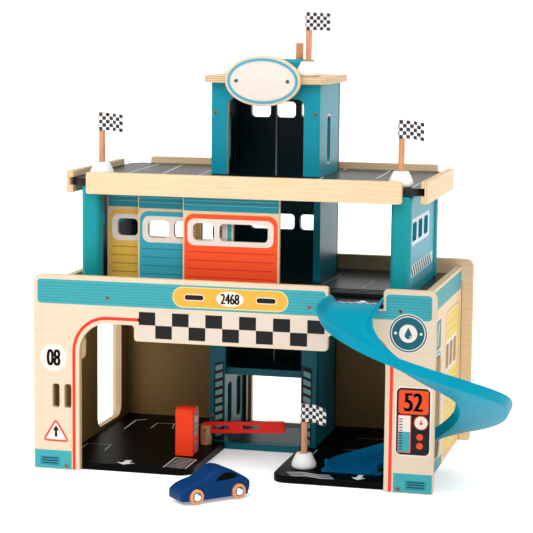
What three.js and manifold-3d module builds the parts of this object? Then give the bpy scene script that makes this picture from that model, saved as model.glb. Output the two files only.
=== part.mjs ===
// Toy parking garage with a hand-cranked lift, a helical ramp, three sliding doors, a barrier,
// four flags on stands and one small car. Millimetres, X to the right, Y to the back, Z up.
// The front face of the facade lies at Y = 0, the middle of the garage at X = 0, the floor at Z = 0.
import * as THREE from "three";
import { mergeVertices } from "three/addons/utils/BufferGeometryUtils.js";
import Module from "manifold-3d";

const wasm = await Module();
wasm.setup();

// Clearances and common stock
const gap = 0.3;
const overrun = 4;
const ply = 9;
const edgeBreak = 0.6;
const sharp = 0;

// Garage box
const facadeWidth = 500;
const facadeHeight = 243.5;
const garageDepth = 317;
const wallInset = 15;
const facadeRise = 19.5;
const wallRise = 9.5;
const storeyHeight = 134;
const towerHeight = 117;

// Facade outline
const legWidth = 59.2;
const archBelowTop = 58;
const archCorner = 36;
const lintelHalfWidth = 120.5;
const lintelDrop = 19.5;
const lintelCorner = 4;
const facadeCorner = 10;
const footCorner = 3;
const legSlotWidth = 9.2;
const legSlotBottom = 78;
const legSlotTop = 108;
const legSlotInset = 24.2;
const legSlotPitch = 15.4;

// Side wall openings
const leftDoorWidth = 101;
const leftDoorBackInset = 42;
const leftDoorSill = 14;
const leftDoorTop = 165;
const leftDoorCorner = 16;
const leftWindowWidth = 32;
const leftWindowSetback = 46;
const leftWindowSill = 119;
const leftWindowTop = 147;
const leftWindowCorner = 7;
const rampGateFront = 22;
const rampGateBack = 139;
const rampGateSill = 18;
const rampGateTop = 147;
const rampGateCorner = 14;
const slotRowStartShare = 0.2549;
const slotRowEndShare = 0.7647;
const slotRowBar = 7;
const slotRowSill = 117;
const slotRowTop = 149;
const slotRowCorner = 5;

// Lift shaft and tower
const shaftWidth = 142;
const shaftDepth = 121;
const shaftBackInset = 28;
const shaftDoorHalf = 50.5;
const shaftDoorTop = 170;
const shaftDoorCorner = 6;
const rearDoorTop = 100;
const baseNoseCorner = 18;
const towerDoorHalf = 49.6;
const towerDoorBelowTop = 19;
const towerDoorCorner = 10;
const towerSlotSetback = 42;
const towerSlotWidth = 22;
const towerSlotSill = 16;
const towerSlotHeight = 59;
const windowWidth = 26.6;
const windowPitch = 34;
const windowHeight = 21;
const windowCorner = 5;
const storeyWindowSill = 53;
const towerWindowSill = 68;
const towerPlateSide = 9.7;
const towerPlateFront = 10;
const towerPlateBack = 8;
const towerPlateCorner = 12;
const signHalfWidth = 48.9;
const signHalfHeight = 31.8;
const signThickness = 8;
const signRise = 3.6;

// Upper storey
const postFront = 55;
const postWidth = 25;
const postDepth = 21;
const postCorner = 8;
const rearPostInset = 47;
const rearPostDepth = 16;
const rearPostCorner = 5;
const storeyInset = 18;
const panelInset = 3;
const panelThickness = 8;
const panelWindowSill = 66;
const panelWindowHeight = 23;
const panelRowStartShare = 0.066;
const panelRowEndShare = 0.7086;
const panelRowBar = 12;
const trackSetback = 3;
const trackHeight = 5;
const trackRail = 3.4;
const doorThickness = 6;
const doorWidth = 123;
const doorClearance = 0.7;
const doorCorner = 3;
const doorHoleStart = 13.2;
const doorHoleFirst = 27;
const doorHoleBar = 6.6;
const doorHoleSecond = 61.5;
const doorHoleSill = 61;
const doorHoleHeight = 21.6;
const doorHoleCorner = 6;
const blueDoorShift = 43.6;
const redDoorShift = 104.8;

// Roof deck and its rails
const deckCorner = 22;
const roofInset = 12;
const railInset = 25;
const railRise = 8.5;
const railDrop = 18.5;
const railCorner = 3;
const parapetThickness = 8.5;
const parapetSetback = 3;
const parapetBackInset = 50;
const parapetLip = 4.5;
const grooveSlack = 0.3;

// Ramp
const rampStartInset = 96.3;
const rampEndClearance = 92.5;
const rampRadius = 80;
const rampTurnFront = 60;
const rampSweepDepth = 160;
const rampTurnIn = 56;
const rampLandingFront = 41;
const rampFloorHalf = 24;
const rampFloor = 3;
const rampRimHalf = 33;
const rampRimWidth = 2.8;
const rampFoot = 27;
const rampRim = 9;
const rampBank = 20;
const rampNotchSlack = 1;
const rampTab = 9;
const rampTabLength = 13;
const rampTabThickness = 3;
const rampEaseInShare = 0.25;
const rampEaseOutShare = 0.12;
const rampJointShare = 0.5;

// Fuel pump and barrier
const pumpInset = 15.5;
const pumpWidth = 24;
const pumpAhead = 76;
const pumpDepth = 28;
const pumpHeight = 62;
const pumpCorner = 9;
const barrierInset = 19.5;
const barrierAhead = 19;
const barrierPostRadius = 7.2;
const barrierPostHeight = 25.5;
const barrierSlot = 6.2;
const barrierArmThickness = 5;
const barrierArmHeight = 14.6;
const barrierArmReach = 105;
const barrierArmTail = 7;
const barrierPinLift = 19.2;
const barrierPinDrop = 2.8;
const barrierRiseShare = 0.0195;
const barrierPinRadius = 1.5;
const barrierSlotHeight = 5.2;
const barrierSlotStart = 9;
const barrierSlotFirst = 23;
const barrierSlotBar = 16;
const barrierSlotSecond = 25;

// Lift cabin, cord and winding gear
const cabinClearance = 1.5;
const cabinHeight = 106;
const cabinSide = 6;
const cabinSlotWidth = 20;
const cabinSlotFrontInset = 19;
const cabinSlotBackInset = 15;
const cabinSlotSill = 28;
const cabinSlotTop = 81;
const cabinSlotCorner = 6;
const cabinCorner = 3;
const cordRadius = 1.1;
const cordTurns = 3;
const cordPitch = 2.8;
const cordTailRadius = 2.4;
const guideRadius = 4;
const guideCheek = 1.6;
const guideCheekHalf = 3.6;
const spoolRadius = 8;
const spoolFlange = 12;
const spoolFlangeThickness = 1.6;
const axleRadius = 4;
const crankX = -20;
const crankCollar = 6;
const crankCollarRadius = 9;
const crankArmThickness = 14.6;
const crankArmHalf = 17;
const crankArmTail = 17;
const crankArmEnd = 19;
const crankArmCorner = 12;
const crankArmBreak = 4.4;
const crankReach = 53;
const crankTurnShare = -0.09;
const handleRadius = 5;
const handleHeight = 21;
const handleSeat = 6;
const handleBreak = 0.8;

// Flags: base, pole and banner
const flagBaseRadius = 15.3;
const flagBaseFoot = 13.2;
const flagBaseTop = 9;
const flagBaseHeight = 19;
const flagBaseBelly = 6.5;
const flagPoleRadius = 3.9;
const flagPoleHeight = 81;
const flagPoleSeat = 8;
const bannerWidth = 23;
const bannerHeight = 22;
const bannerThickness = 1;
const bannerWave = 2.4;
const bannerDrop = 2.2;
const bannerBelowTop = 0.6;

const leftFlagInset = 35.5;
const leftFlagSetback = 23;
const leftFlagDroopShare = 1;
const rightFlagInset = 31;
const rightFlagSetback = 19;
const rightFlagDroopShare = 1.4;
const towerFlagInset = 19.3;
const towerFlagSetback = 15;
const towerFlagDroopShare = 0.4;
const baseFlagInset = 30.5;
const baseFlagY = 56;
const baseFlagDroopShare = 2.6;

// Small car
const carX = 1;
const carY = -90;
const carTurnShare = 0.2567;
const carLength = 93;
const carWidth = 34;
const carHeight = 36;
const carFloor = 4.5;
const carEdge = 5;
const wheelRadius = 9.2;
const wheelWidth = 6.5;
const wheelBase = 57;
const wheelArch = 10.6;
const wheelHouseDepth = 5;
const wheelProud = 1.6;
const carAxleRadius = 1.8;
const carWindowDepth = 1;
const rearOverhang = 16.5;

// Materials
function paint(colour, roughness, metalness = 0) {
  return new THREE.MeshStandardMaterial({ color: colour, roughness, metalness });
}
const plywood = paint("#f3dcb4", 0.55);
const blackDeck = paint("#1c1c1f", 0.38);
const teal = paint("#1c8f9e", 0.36);
const darkTeal = paint("#0f5e68", 0.4);
const signCream = paint("#f6eee2", 0.5);
const rampBlue = paint("#0a8fc0", 0.28);
const pumpRed = paint("#ee4520", 0.42);
const barrierRed = paint("#d9121a", 0.4);
const doorYellow = paint("#d8b24a", 0.45);
const doorBlue = paint("#3c9fb8", 0.45);
const doorRed = paint("#ea5a32", 0.45);
const beech = paint("#cf9468", 0.55);
const white = paint("#f4f3f1", 0.35);
const cordGrey = paint("#8e8c88", 0.85);
const clothCheck = paint("#b9b4b0", 0.8);
const carBlue = paint("#1d4a86", 0.42);
const steel = paint("#c9ccd0", 0.25, 1);

// The origin lies on the floor, at the middle of the whole toy's footprint.
const footprintX = 48.3;
const footprintY = 76.75;
const garage = new THREE.Group();
garage.position.set(-footprintX, -footprintY, 0);

// An outline from corners [x, y, radius]: each corner with a radius becomes a true arc, and larger
// arcs get more steps.
function roundedPoints(corners) {
  const points = [];
  corners.forEach(([x, y, radius], i) => {
    const corner = new THREE.Vector2(x, y);
    if (!radius) {
      points.push(corner);
      return;
    }
    const [px, py] = corners.at(i - 1);
    const [nx, ny] = corners[(i + 1) % corners.length];
    const back = new THREE.Vector2(px, py).sub(corner).normalize();
    const ahead = new THREE.Vector2(nx, ny).sub(corner).normalize();
    const half = Math.acos(THREE.MathUtils.clamp(back.dot(ahead), -1, 1)) / 2;
    const bisector = back.clone().add(ahead).normalize();
    const centre = corner.clone().addScaledVector(bisector, radius / Math.sin(half));
    const reach = radius / Math.tan(half);
    const from = corner.clone().addScaledVector(back, reach).sub(centre);
    const to = corner.clone().addScaledVector(ahead, reach).sub(centre);
    const turn = Math.atan2(from.cross(to), from.dot(to));
    const steps = Math.max(3, Math.ceil(Math.sqrt(radius / edgeBreak)));
    for (let k = 0; k <= steps; k += 1) {
      const spoke = from.clone().rotateAround(new THREE.Vector2(), (turn * k) / steps);
      points.push(centre.clone().add(spoke));
    }
  });
  return points;
}

// A rectangle as four rounded corners
function box(left, bottom, right, top, radius = sharp) {
  return [
    [left, bottom, radius],
    [right, bottom, radius],
    [right, top, radius],
    [left, top, radius],
  ];
}

function sheetGeometry(corners, holes, thickness, edge = sharp, edgeSteps = 1) {
  const shape = new THREE.Shape(roundedPoints(corners));
  holes.forEach((hole) => shape.holes.push(new THREE.Path(roundedPoints(hole))));
  const geometry = new THREE.ExtrudeGeometry(shape, {
    depth: thickness - 2 * edge,
    bevelEnabled: edge > 0,
    bevelThickness: edge,
    bevelSize: edge,
    bevelOffset: -edge,
    bevelSegments: edgeSteps,
  });
  geometry.translate(0, 0, edge);
  return geometry;
}

function addMesh(name, geometry, material, parent = garage) {
  const mesh = new THREE.Mesh(geometry, material);
  mesh.name = name;
  parent.add(mesh);
  return mesh;
}

// The outline lies in X and Z, and the thickness runs back from frontY.
function frontSheet(name, corners, holes, thickness, material, frontY) {
  const mesh = addMesh(name, sheetGeometry(corners, holes, thickness), material);
  mesh.rotation.x = Math.PI / 2;
  mesh.position.y = frontY + thickness;
  return mesh;
}

// The outline lies in Y and Z, and the thickness runs right from leftX.
const sideBasis = new THREE.Matrix4().makeBasis(
  new THREE.Vector3(0, 1, 0),
  new THREE.Vector3(0, 0, 1),
  new THREE.Vector3(1, 0, 0),
);
function sideSheet(name, corners, holes, thickness, material, leftX, edge) {
  const mesh = addMesh(name, sheetGeometry(corners, holes, thickness, edge), material);
  mesh.quaternion.setFromRotationMatrix(sideBasis);
  mesh.position.x = leftX;
  return mesh;
}

// The outline lies in X and Y, and the thickness runs up from bottomZ.
function levelSheet(name, corners, holes, thickness, material, bottomZ) {
  const mesh = addMesh(name, sheetGeometry(corners, holes, thickness), material);
  mesh.position.z = bottomZ;
  return mesh;
}

// Booleans: a closed geometry becomes a solid, and a solid becomes a geometry.
function solid(geometry) {
  const bare = geometry.clone();
  bare.deleteAttribute("normal");
  bare.deleteAttribute("uv");
  const merged = mergeVertices(bare);
  return new wasm.Manifold(
    new wasm.Mesh({
      numProp: 3,
      vertProperties: merged.attributes.position.array,
      triVerts: new Uint32Array(merged.index.array),
    }),
  );
}

function geometryOf(manifold) {
  const mesh = manifold.getMesh();
  const geometry = new THREE.BufferGeometry();
  geometry.setAttribute("position", new THREE.BufferAttribute(mesh.vertProperties, 3));
  geometry.setIndex(new THREE.BufferAttribute(mesh.triVerts, 1));
  geometry.computeVertexNormals();
  return geometry;
}

// Derived places
const halfWidth = facadeWidth / 2;
const baseTop = ply;
const wallOuter = halfWidth - wallInset;
const wallInner = wallOuter - ply;
const insideHalf = wallInner - gap;
const insideFront = ply + gap;
const insideBack = garageDepth - ply - gap;
const firstFloorLevel = facadeHeight - facadeRise;
const wallHeight = firstFloorLevel + wallRise;
const roofLevel = firstFloorLevel + storeyHeight;
const towerTop = roofLevel + towerHeight;
const storeyHalfWidth = wallInner - storeyInset;
const roofHalfWidth = wallOuter - roofInset;
const rampStart = halfWidth - rampStartInset;
const rampEnd = shaftDoorHalf + rampEndClearance;
const firstFloorBottom = firstFloorLevel - ply;
const roofBottom = roofLevel - ply;
const shaftHalf = shaftWidth / 2;
const shaftBack = garageDepth - shaftBackInset;
const shaftFront = shaftBack - shaftDepth;
const shaftWallInner = shaftHalf - ply;
const cabinHalf = shaftWallInner - cabinClearance;
const cabinFront = shaftFront + ply + cabinClearance;
const cabinBack = shaftBack - ply - cabinClearance;

// The cord hangs from the guide's pin to the cabin roof. Over the pin it turns level, runs straight
// to the spool and winds round it.
const cordX = 0;
const cordY = (cabinFront + cabinBack) / 2;
const windRadius = spoolRadius + gap + cordRadius;
const crankY = cordY + windRadius;
const ceiling = towerTop - gap;
const cordLevel = ceiling - spoolFlangeThickness - gap - cordRadius;
const cordEndRun = 2 * cordRadius;
const spoolFill = cordRadius + gap + cordTurns * cordPitch + cordTailRadius + cordEndRun + gap;
const spoolHeight = spoolFill + 2 * spoolFlangeThickness;
const cordBendRadius = guideRadius;
const cordPinLevel = cordLevel - cordBendRadius;
const cordSplit = cordPinLevel - cordEndRun;

// The base board is cut away for the drive-in, for the shaft's front frame and for the lift's well.
function baseBoard() {
  const notch = shaftDoorHalf;
  const frame = shaftHalf + gap;
  const well = shaftWallInner;
  const frameFront = shaftFront - gap;
  const frameBack = shaftFront + ply + gap;
  const wellBack = shaftBack - ply - gap;
  const outline = [
    [-insideHalf, insideFront, sharp],
    [-notch, insideFront, baseNoseCorner],
    [-notch, frameFront, sharp],
    [-frame, frameFront, sharp],
    [-frame, frameBack, sharp],
    [-well, frameBack, sharp],
    [-well, wellBack, sharp],
    [well, wellBack, sharp],
    [well, frameBack, sharp],
    [frame, frameBack, sharp],
    [frame, frameFront, sharp],
    [notch, frameFront, sharp],
    [notch, insideFront, baseNoseCorner],
    [insideHalf, insideFront, sharp],
    [insideHalf, insideBack, sharp],
    [-insideHalf, insideBack, sharp],
  ];
  levelSheet("base_board", outline, [], ply, blackDeck, 0);
}

function frontFacade() {
  const legInner = halfWidth - legWidth;
  const archTop = facadeHeight - archBelowTop;
  const lintelBottom = archTop - lintelDrop;
  const notchLeft = rampStart - rampRimHalf - gap;
  const notchRight = rampStart + rampRimHalf + gap;
  const notchBottom = firstFloorLevel - rampFloor - rampNotchSlack;
  const outline = [
    [-halfWidth, 0, footCorner],
    [-legInner, 0, footCorner],
    [-legInner, archTop, archCorner],
    [-lintelHalfWidth, archTop, lintelCorner],
    [-lintelHalfWidth, lintelBottom, lintelCorner],
    [lintelHalfWidth, lintelBottom, lintelCorner],
    [lintelHalfWidth, archTop, lintelCorner],
    [legInner, archTop, archCorner],
    [legInner, 0, footCorner],
    [halfWidth, 0, footCorner],
    [halfWidth, facadeHeight, facadeCorner],
    [notchRight, facadeHeight, lintelCorner],
    [notchRight, notchBottom, sharp],
    [notchLeft, notchBottom, sharp],
    [notchLeft, facadeHeight, lintelCorner],
    [-halfWidth, facadeHeight, facadeCorner],
  ];
  const slots = [0, 1].map((k) => {
    const left = -halfWidth + legSlotInset + k * legSlotPitch;
    return box(left, legSlotBottom, left + legSlotWidth, legSlotTop, legSlotWidth / 3);
  });
  frontSheet("front_facade", outline, slots, ply, plywood, 0);
}

function backPanel() {
  const outline = [
    [-halfWidth, 0, footCorner],
    [-shaftDoorHalf, 0, footCorner],
    [-shaftDoorHalf, rearDoorTop, shaftDoorCorner],
    [shaftDoorHalf, rearDoorTop, shaftDoorCorner],
    [shaftDoorHalf, 0, footCorner],
    [halfWidth, 0, footCorner],
    [halfWidth, facadeHeight, facadeCorner],
    [-halfWidth, facadeHeight, facadeCorner],
  ];
  frontSheet("back_panel", outline, [], ply, plywood, garageDepth - ply);
}

// Three slots side by side that fill their share of the length from front to back, with bars between
const slotsInRow = 3;
function rowOfSlots(front, back, startShare, endShare, bar, sill, top, corner) {
  const length = back - front;
  const start = front + length * startShare;
  const width = (length * (endShare - startShare) - bar * (slotsInRow - 1)) / slotsInRow;
  return [...Array(slotsInRow).keys()].map((k) => {
    const near = start + k * (width + bar);
    return box(near, sill, near + width, top, corner);
  });
}

function sideWalls() {
  const outline = box(insideFront, 0, insideBack, wallHeight);
  const leftDoorBack = garageDepth - leftDoorBackInset;
  const leftDoorFront = leftDoorBack - leftDoorWidth;
  const leftWindowBack = leftDoorFront - leftWindowSetback;
  const leftWindowFront = leftWindowBack - leftWindowWidth;
  const leftHoles = [
    box(leftDoorFront, leftDoorSill, leftDoorBack, leftDoorTop, leftDoorCorner),
    box(leftWindowFront, leftWindowSill, leftWindowBack, leftWindowTop, leftWindowCorner),
  ];
  const gate = box(rampGateFront, rampGateSill, rampGateBack, rampGateTop, rampGateCorner);
  const slots = rowOfSlots(
    ...[rampGateBack, insideBack, slotRowStartShare, slotRowEndShare],
    ...[slotRowBar, slotRowSill, slotRowTop, slotRowCorner],
  );
  sideSheet("left_side_wall", outline, leftHoles, ply, plywood, -wallOuter);
  sideSheet("right_side_wall", outline, [gate, ...slots], ply, plywood, wallInner);
}

function firstFloorDeck() {
  const cut = shaftHalf + gap;
  const hole = box(-cut, shaftFront + ply, cut, shaftBack + gap);
  const outline = box(-insideHalf, insideFront, insideHalf, insideBack);
  levelSheet("first_floor_deck", outline, [hole], ply, blackDeck, firstFloorBottom);
}

// The shaft's side walls run from the base board to the tower roof, past both decks.
function shaftWalls() {
  const wallFront = shaftFront + ply + gap;
  const wallBack = shaftBack - ply - gap;
  const outline = box(wallFront, baseTop + gap, wallBack, towerTop - gap);
  const slotFront = shaftFront + towerSlotSetback;
  const slotBottom = roofLevel + towerSlotSill;
  const slotTop = slotBottom + towerSlotHeight;
  const slot = box(slotFront, slotBottom, slotFront + towerSlotWidth, slotTop, towerSlotWidth / 3);
  sideSheet("shaft_left_wall", outline, [slot], ply, teal, -shaftHalf);
  sideSheet("shaft_right_wall", outline, [slot], ply, teal, shaftWallInner);
}

// The ground floor's front frame reaches the floor, so its sill closes the drive-in.
function shaftFrontFrame() {
  const outline = box(-shaftHalf, 0, shaftHalf, firstFloorBottom - gap);
  const doorway = box(-shaftDoorHalf, baseTop, shaftDoorHalf, shaftDoorTop, shaftDoorCorner);
  frontSheet("shaft_front_frame", outline, [doorway], ply, darkTeal, shaftFront);
}

// The back wall has a doorway at the ground and a row of three windows on two storeys.
function shaftBackWall() {
  const foot = baseTop + gap;
  const outline = [
    [-shaftHalf, foot, sharp],
    [-shaftDoorHalf, foot, sharp],
    [-shaftDoorHalf, rearDoorTop, shaftDoorCorner],
    [shaftDoorHalf, rearDoorTop, shaftDoorCorner],
    [shaftDoorHalf, foot, sharp],
    [shaftHalf, foot, sharp],
    [shaftHalf, towerTop - gap, sharp],
    [-shaftHalf, towerTop - gap, sharp],
  ];
  const sills = [firstFloorLevel + storeyWindowSill, roofLevel + towerWindowSill];
  const windows = sills.flatMap((sill) =>
    [-1, 0, 1].map((k) => {
      const left = k * windowPitch - windowWidth / 2;
      return box(left, sill, left + windowWidth, sill + windowHeight, windowCorner);
    }),
  );
  frontSheet("shaft_back_wall", outline, windows, ply, darkTeal, shaftBack - ply);
}

function towerFrontWall() {
  const foot = roofLevel + gap;
  const towerDoorTop = towerTop - towerDoorBelowTop;
  const outline = [
    [-shaftHalf, foot, sharp],
    [-towerDoorHalf, foot, sharp],
    [-towerDoorHalf, towerDoorTop, towerDoorCorner],
    [towerDoorHalf, towerDoorTop, towerDoorCorner],
    [towerDoorHalf, foot, sharp],
    [shaftHalf, foot, sharp],
    [shaftHalf, towerTop - gap, sharp],
    [-shaftHalf, towerTop - gap, sharp],
  ];
  frontSheet("tower_front_wall", outline, [], ply, teal, shaftFront);
}

const circleSides = 16;
function circlePoints(x, y, radius) {
  return [...Array(circleSides).keys()].map((k) => {
    const angle = (2 * Math.PI * k) / circleSides;
    return [x + radius * Math.cos(angle), y + radius * Math.sin(angle), sharp];
  });
}

function towerRoof() {
  const side = shaftHalf + towerPlateSide;
  const front = shaftFront - towerPlateFront;
  const back = shaftBack + towerPlateBack;
  const outline = box(-side, front, side, back, towerPlateCorner);
  const bore = circlePoints(crankX, crankY, axleRadius + gap);
  levelSheet("tower_roof", outline, [bore], ply, plywood, towerTop);
}

function ovalSign() {
  const shape = new THREE.Shape();
  shape.absellipse(0, 0, signHalfWidth, signHalfHeight, 0, 2 * Math.PI);
  const geometry = new THREE.ExtrudeGeometry(shape, {
    depth: signThickness - 2 * edgeBreak,
    bevelThickness: edgeBreak,
    bevelSize: edgeBreak,
    bevelOffset: -edgeBreak,
    bevelSegments: 1,
    curveSegments: 24,
  });
  geometry.translate(0, 0, edgeBreak);
  const mesh = addMesh("oval_sign", geometry, signCream);
  mesh.rotation.x = Math.PI / 2;
  mesh.position.set(0, shaftFront - towerPlateFront - gap, towerTop + signRise);
}

function roofDeck() {
  const cut = shaftHalf + gap;
  const outline = box(-roofHalfWidth, postFront, roofHalfWidth, garageDepth, deckCorner);
  const hole = box(-cut, shaftFront + ply, cut, shaftBack + gap);
  levelSheet("roof_deck", outline, [hole], ply, blackDeck, roofBottom);
}

function roofRails() {
  const reach = roofHalfWidth - railInset;
  const outline = box(-reach, roofLevel - railDrop, reach, roofLevel + railRise, railCorner);
  frontSheet("roof_front_fascia", outline, [], ply, plywood, postFront - ply - gap);
  frontSheet("roof_rear_rail", outline, [], ply, plywood, garageDepth + gap);
}

// Each parapet is a plank whose inner face has a groove for the edge of the roof deck.
function parapets() {
  const parapetReach = roofHalfWidth + parapetLip;
  const railBottom = roofLevel - railDrop;
  const railTop = roofLevel + railRise;
  const inner = parapetReach - parapetThickness;
  const grooveEnd = roofHalfWidth + grooveSlack;
  const grooveBottom = roofBottom - grooveSlack;
  const grooveTop = roofLevel + grooveSlack;
  const outline = [
    [inner, railBottom, sharp],
    [parapetReach, railBottom, sharp],
    [parapetReach, railTop, sharp],
    [inner, railTop, sharp],
    [inner, grooveTop, sharp],
    [grooveEnd, grooveTop, sharp],
    [grooveEnd, grooveBottom, sharp],
    [inner, grooveBottom, sharp],
  ];
  const mirrored = outline.map(([x, z, radius]) => [-x, z, radius]).reverse();
  const parapetFront = postFront + parapetSetback;
  const length = garageDepth - parapetBackInset - parapetFront;
  frontSheet("right_parapet", outline, [], length, plywood, parapetFront);
  frontSheet("left_parapet", mirrored, [], length, plywood, parapetFront);
}

const rearPostBack = garageDepth - rearPostInset;
function upperPosts() {
  const inner = storeyHalfWidth - postWidth;
  const bottom = firstFloorLevel + gap;
  const height = roofBottom - firstFloorLevel - 2 * gap;
  const sides = { left: -1, right: 1 };
  Object.entries(sides).forEach(([side, sign]) => {
    const low = Math.min(sign * inner, sign * storeyHalfWidth);
    const high = Math.max(sign * inner, sign * storeyHalfWidth);
    const front = box(low, postFront, high, postFront + postDepth, postCorner);
    const rear = box(low, rearPostBack - rearPostDepth, high, rearPostBack, rearPostCorner);
    levelSheet(`upper_${side}_front_post`, front, [], height, teal, bottom);
    levelSheet(`upper_${side}_rear_post`, rear, [], height, teal, bottom);
  });
}

function upperPanels() {
  const front = postFront + postDepth + gap;
  const back = rearPostBack - rearPostDepth - gap;
  const outline = box(front, firstFloorLevel + gap, back, roofBottom - gap);
  const sill = firstFloorLevel + panelWindowSill;
  const slots = rowOfSlots(
    ...[front, back, panelRowStartShare, panelRowEndShare],
    ...[panelRowBar, sill, sill + panelWindowHeight, windowCorner],
  );
  const outer = storeyHalfWidth - panelInset;
  sideSheet("upper_left_panel", outline, slots, panelThickness, teal, -outer);
  sideSheet("upper_right_panel", outline, slots, panelThickness, teal, outer - panelThickness);
}

// Two tracks with three grooves each carry the doors: the lower one stands on the deck and the
// upper one hangs under the roof deck, between the front posts.
const trackFront = postFront + trackSetback;
const trackHalf = storeyHalfWidth - postWidth - gap;
const doorPitch = doorThickness + 2 * doorClearance + trackRail;
const trackDepth = 3 * doorPitch + trackRail;
const grooveFloor = trackHeight / 2.5;
function doorTracks() {
  const profile = [
    [trackFront, 0, sharp],
    [trackFront + trackDepth, 0, sharp],
    [trackFront + trackDepth, trackHeight, sharp],
  ];
  for (let k = 2; k >= 0; k -= 1) {
    const start = trackFront + trackRail + k * doorPitch;
    const end = start + doorPitch - trackRail;
    profile.push([end, trackHeight, sharp], [end, grooveFloor, sharp]);
    profile.push([start, grooveFloor, sharp], [start, trackHeight, sharp]);
  }
  profile.push([trackFront, trackHeight, sharp]);
  const foot = firstFloorLevel + gap;
  const head = roofBottom - gap;
  const lower = profile.map(([y, z, radius]) => [y, foot + z, radius]);
  const upper = profile.map(([y, z, radius]) => [y, head - z, radius]).reverse();
  sideSheet("door_track_bottom", lower, [], 2 * trackHalf, blackDeck, -trackHalf);
  sideSheet("door_track_top", upper, [], 2 * trackHalf, blackDeck, -trackHalf);
}

function slidingDoor(name, material, lane, shift) {
  const left = -trackHalf + gap + shift;
  const right = left + doorWidth;
  const bottom = firstFloorLevel + gap + grooveFloor + gap;
  const top = roofBottom - gap - grooveFloor - gap;
  const front = trackFront + trackRail + lane * doorPitch + doorClearance;
  const firstLeft = left + doorHoleStart;
  const firstRight = firstLeft + doorHoleFirst;
  const secondLeft = firstRight + doorHoleBar;
  const sill = firstFloorLevel + doorHoleSill;
  const head = sill + doorHoleHeight;
  const holes = [
    box(firstLeft, sill, firstRight, head, doorHoleCorner),
    box(secondLeft, sill, secondLeft + doorHoleSecond, head, doorHoleCorner),
  ];
  const outline = box(left, bottom, right, top, doorCorner);
  frontSheet(name, outline, holes, doorThickness, material, front);
}

// The ramp's middle line in plan: out of the facade, half a turn to the right, a long sweep back
// past the facade, in through the side wall and forward again to its landing.
class RampRoute extends THREE.CurvePath {
  constructor() {
    super();
    const centreX = rampStart + rampRadius;
    const turnY = -rampTurnFront;
    const sweepBack = turnY + rampSweepDepth;
    const inX = centreX - rampEnd;
    const inY = sweepBack - rampTurnIn;
    this.add(new THREE.LineCurve(new THREE.Vector2(rampStart, ply), new THREE.Vector2(rampStart, turnY)));
    this.add(new THREE.EllipseCurve(centreX, turnY, rampRadius, rampRadius, Math.PI, 2 * Math.PI));
    this.add(new THREE.EllipseCurve(centreX, turnY, rampRadius, rampSweepDepth, 0, Math.PI / 2));
    this.add(new THREE.EllipseCurve(centreX, inY, inX, rampTurnIn, Math.PI / 2, Math.PI));
    this.add(
      new THREE.LineCurve(new THREE.Vector2(rampEnd, inY), new THREE.Vector2(rampEnd, rampLandingFront)),
    );
  }
}
const rampRoute = new RampRoute();

// Share of the whole drop reached at a share of the way: the slope grows, stays and dies away.
function dropShare(way) {
  const full = 1 - rampEaseInShare / 2 - rampEaseOutShare / 2;
  const easing = Math.min(way, rampEaseInShare);
  const out = Math.max(0, way - (1 - rampEaseOutShare));
  const steady = Math.max(0, Math.min(way, 1 - rampEaseOutShare) - rampEaseInShare);
  const grown = (easing * easing) / (2 * rampEaseInShare);
  const dying = out - (out * out) / (2 * rampEaseOutShare);
  return (grown + steady + dying) / full;
}

// One length of trough: its section rides along the route, its outer side raised on the first turn.
const rampStations = 54;
function rampTrough(fromShare, toShare) {
  const section = [
    [-rampRimHalf + rampRimWidth, rampRim],
    [-rampRimHalf, rampRim],
    [-rampFoot, -rampFloor],
    [rampFoot, -rampFloor],
    [rampRimHalf, rampRim],
    [rampRimHalf - rampRimWidth, rampRim],
    [rampFloorHalf, 0],
    [-rampFloorHalf, 0],
  ];
  const landing = baseTop + gap + rampFloor;
  const drop = firstFloorLevel - landing;
  const count = Math.round(rampStations * (toShare - fromShare));
  const positions = [];
  for (let k = 0; k <= count; k += 1) {
    const way = fromShare + ((toShare - fromShare) * k) / count;
    const point = rampRoute.getPointAt(way);
    const heading = rampRoute.getTangentAt(way);
    const height = firstFloorLevel - drop * dropShare(way);
    const bank = (rampBank * Math.sin(Math.PI * Math.min(1, way / rampJointShare))) / (2 * rampRimHalf);
    section.forEach(([out, up]) => {
      positions.push(point.x + heading.y * out, point.y - heading.x * out, height + up + bank * out);
    });
  }
  const size = section.length;
  const indices = [];
  for (let k = 0; k < count; k += 1) {
    for (let i = 0; i < size; i += 1) {
      const a = k * size + i;
      const b = k * size + ((i + 1) % size);
      indices.push(b, a, a + size, b, a + size, b + size);
    }
  }
  const outline = section.map(([x, y]) => new THREE.Vector2(x, y));
  const caps = THREE.ShapeUtils.triangulateShape(outline, []);
  caps.forEach(([a, b, c]) => {
    indices.push(a, b, c);
    indices.push(a + count * size, c + count * size, b + count * size);
  });
  const geometry = new THREE.BufferGeometry();
  geometry.setAttribute("position", new THREE.Float32BufferAttribute(positions, 3));
  geometry.setIndex(indices);
  geometry.computeVertexNormals();
  return geometry;
}

function boxGeometry(left, front, bottom, right, back, top) {
  const geometry = new THREE.BoxGeometry(right - left, back - front, top - bottom);
  geometry.translate((left + right) / 2, (front + back) / 2, (bottom + top) / 2);
  return geometry;
}

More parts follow.
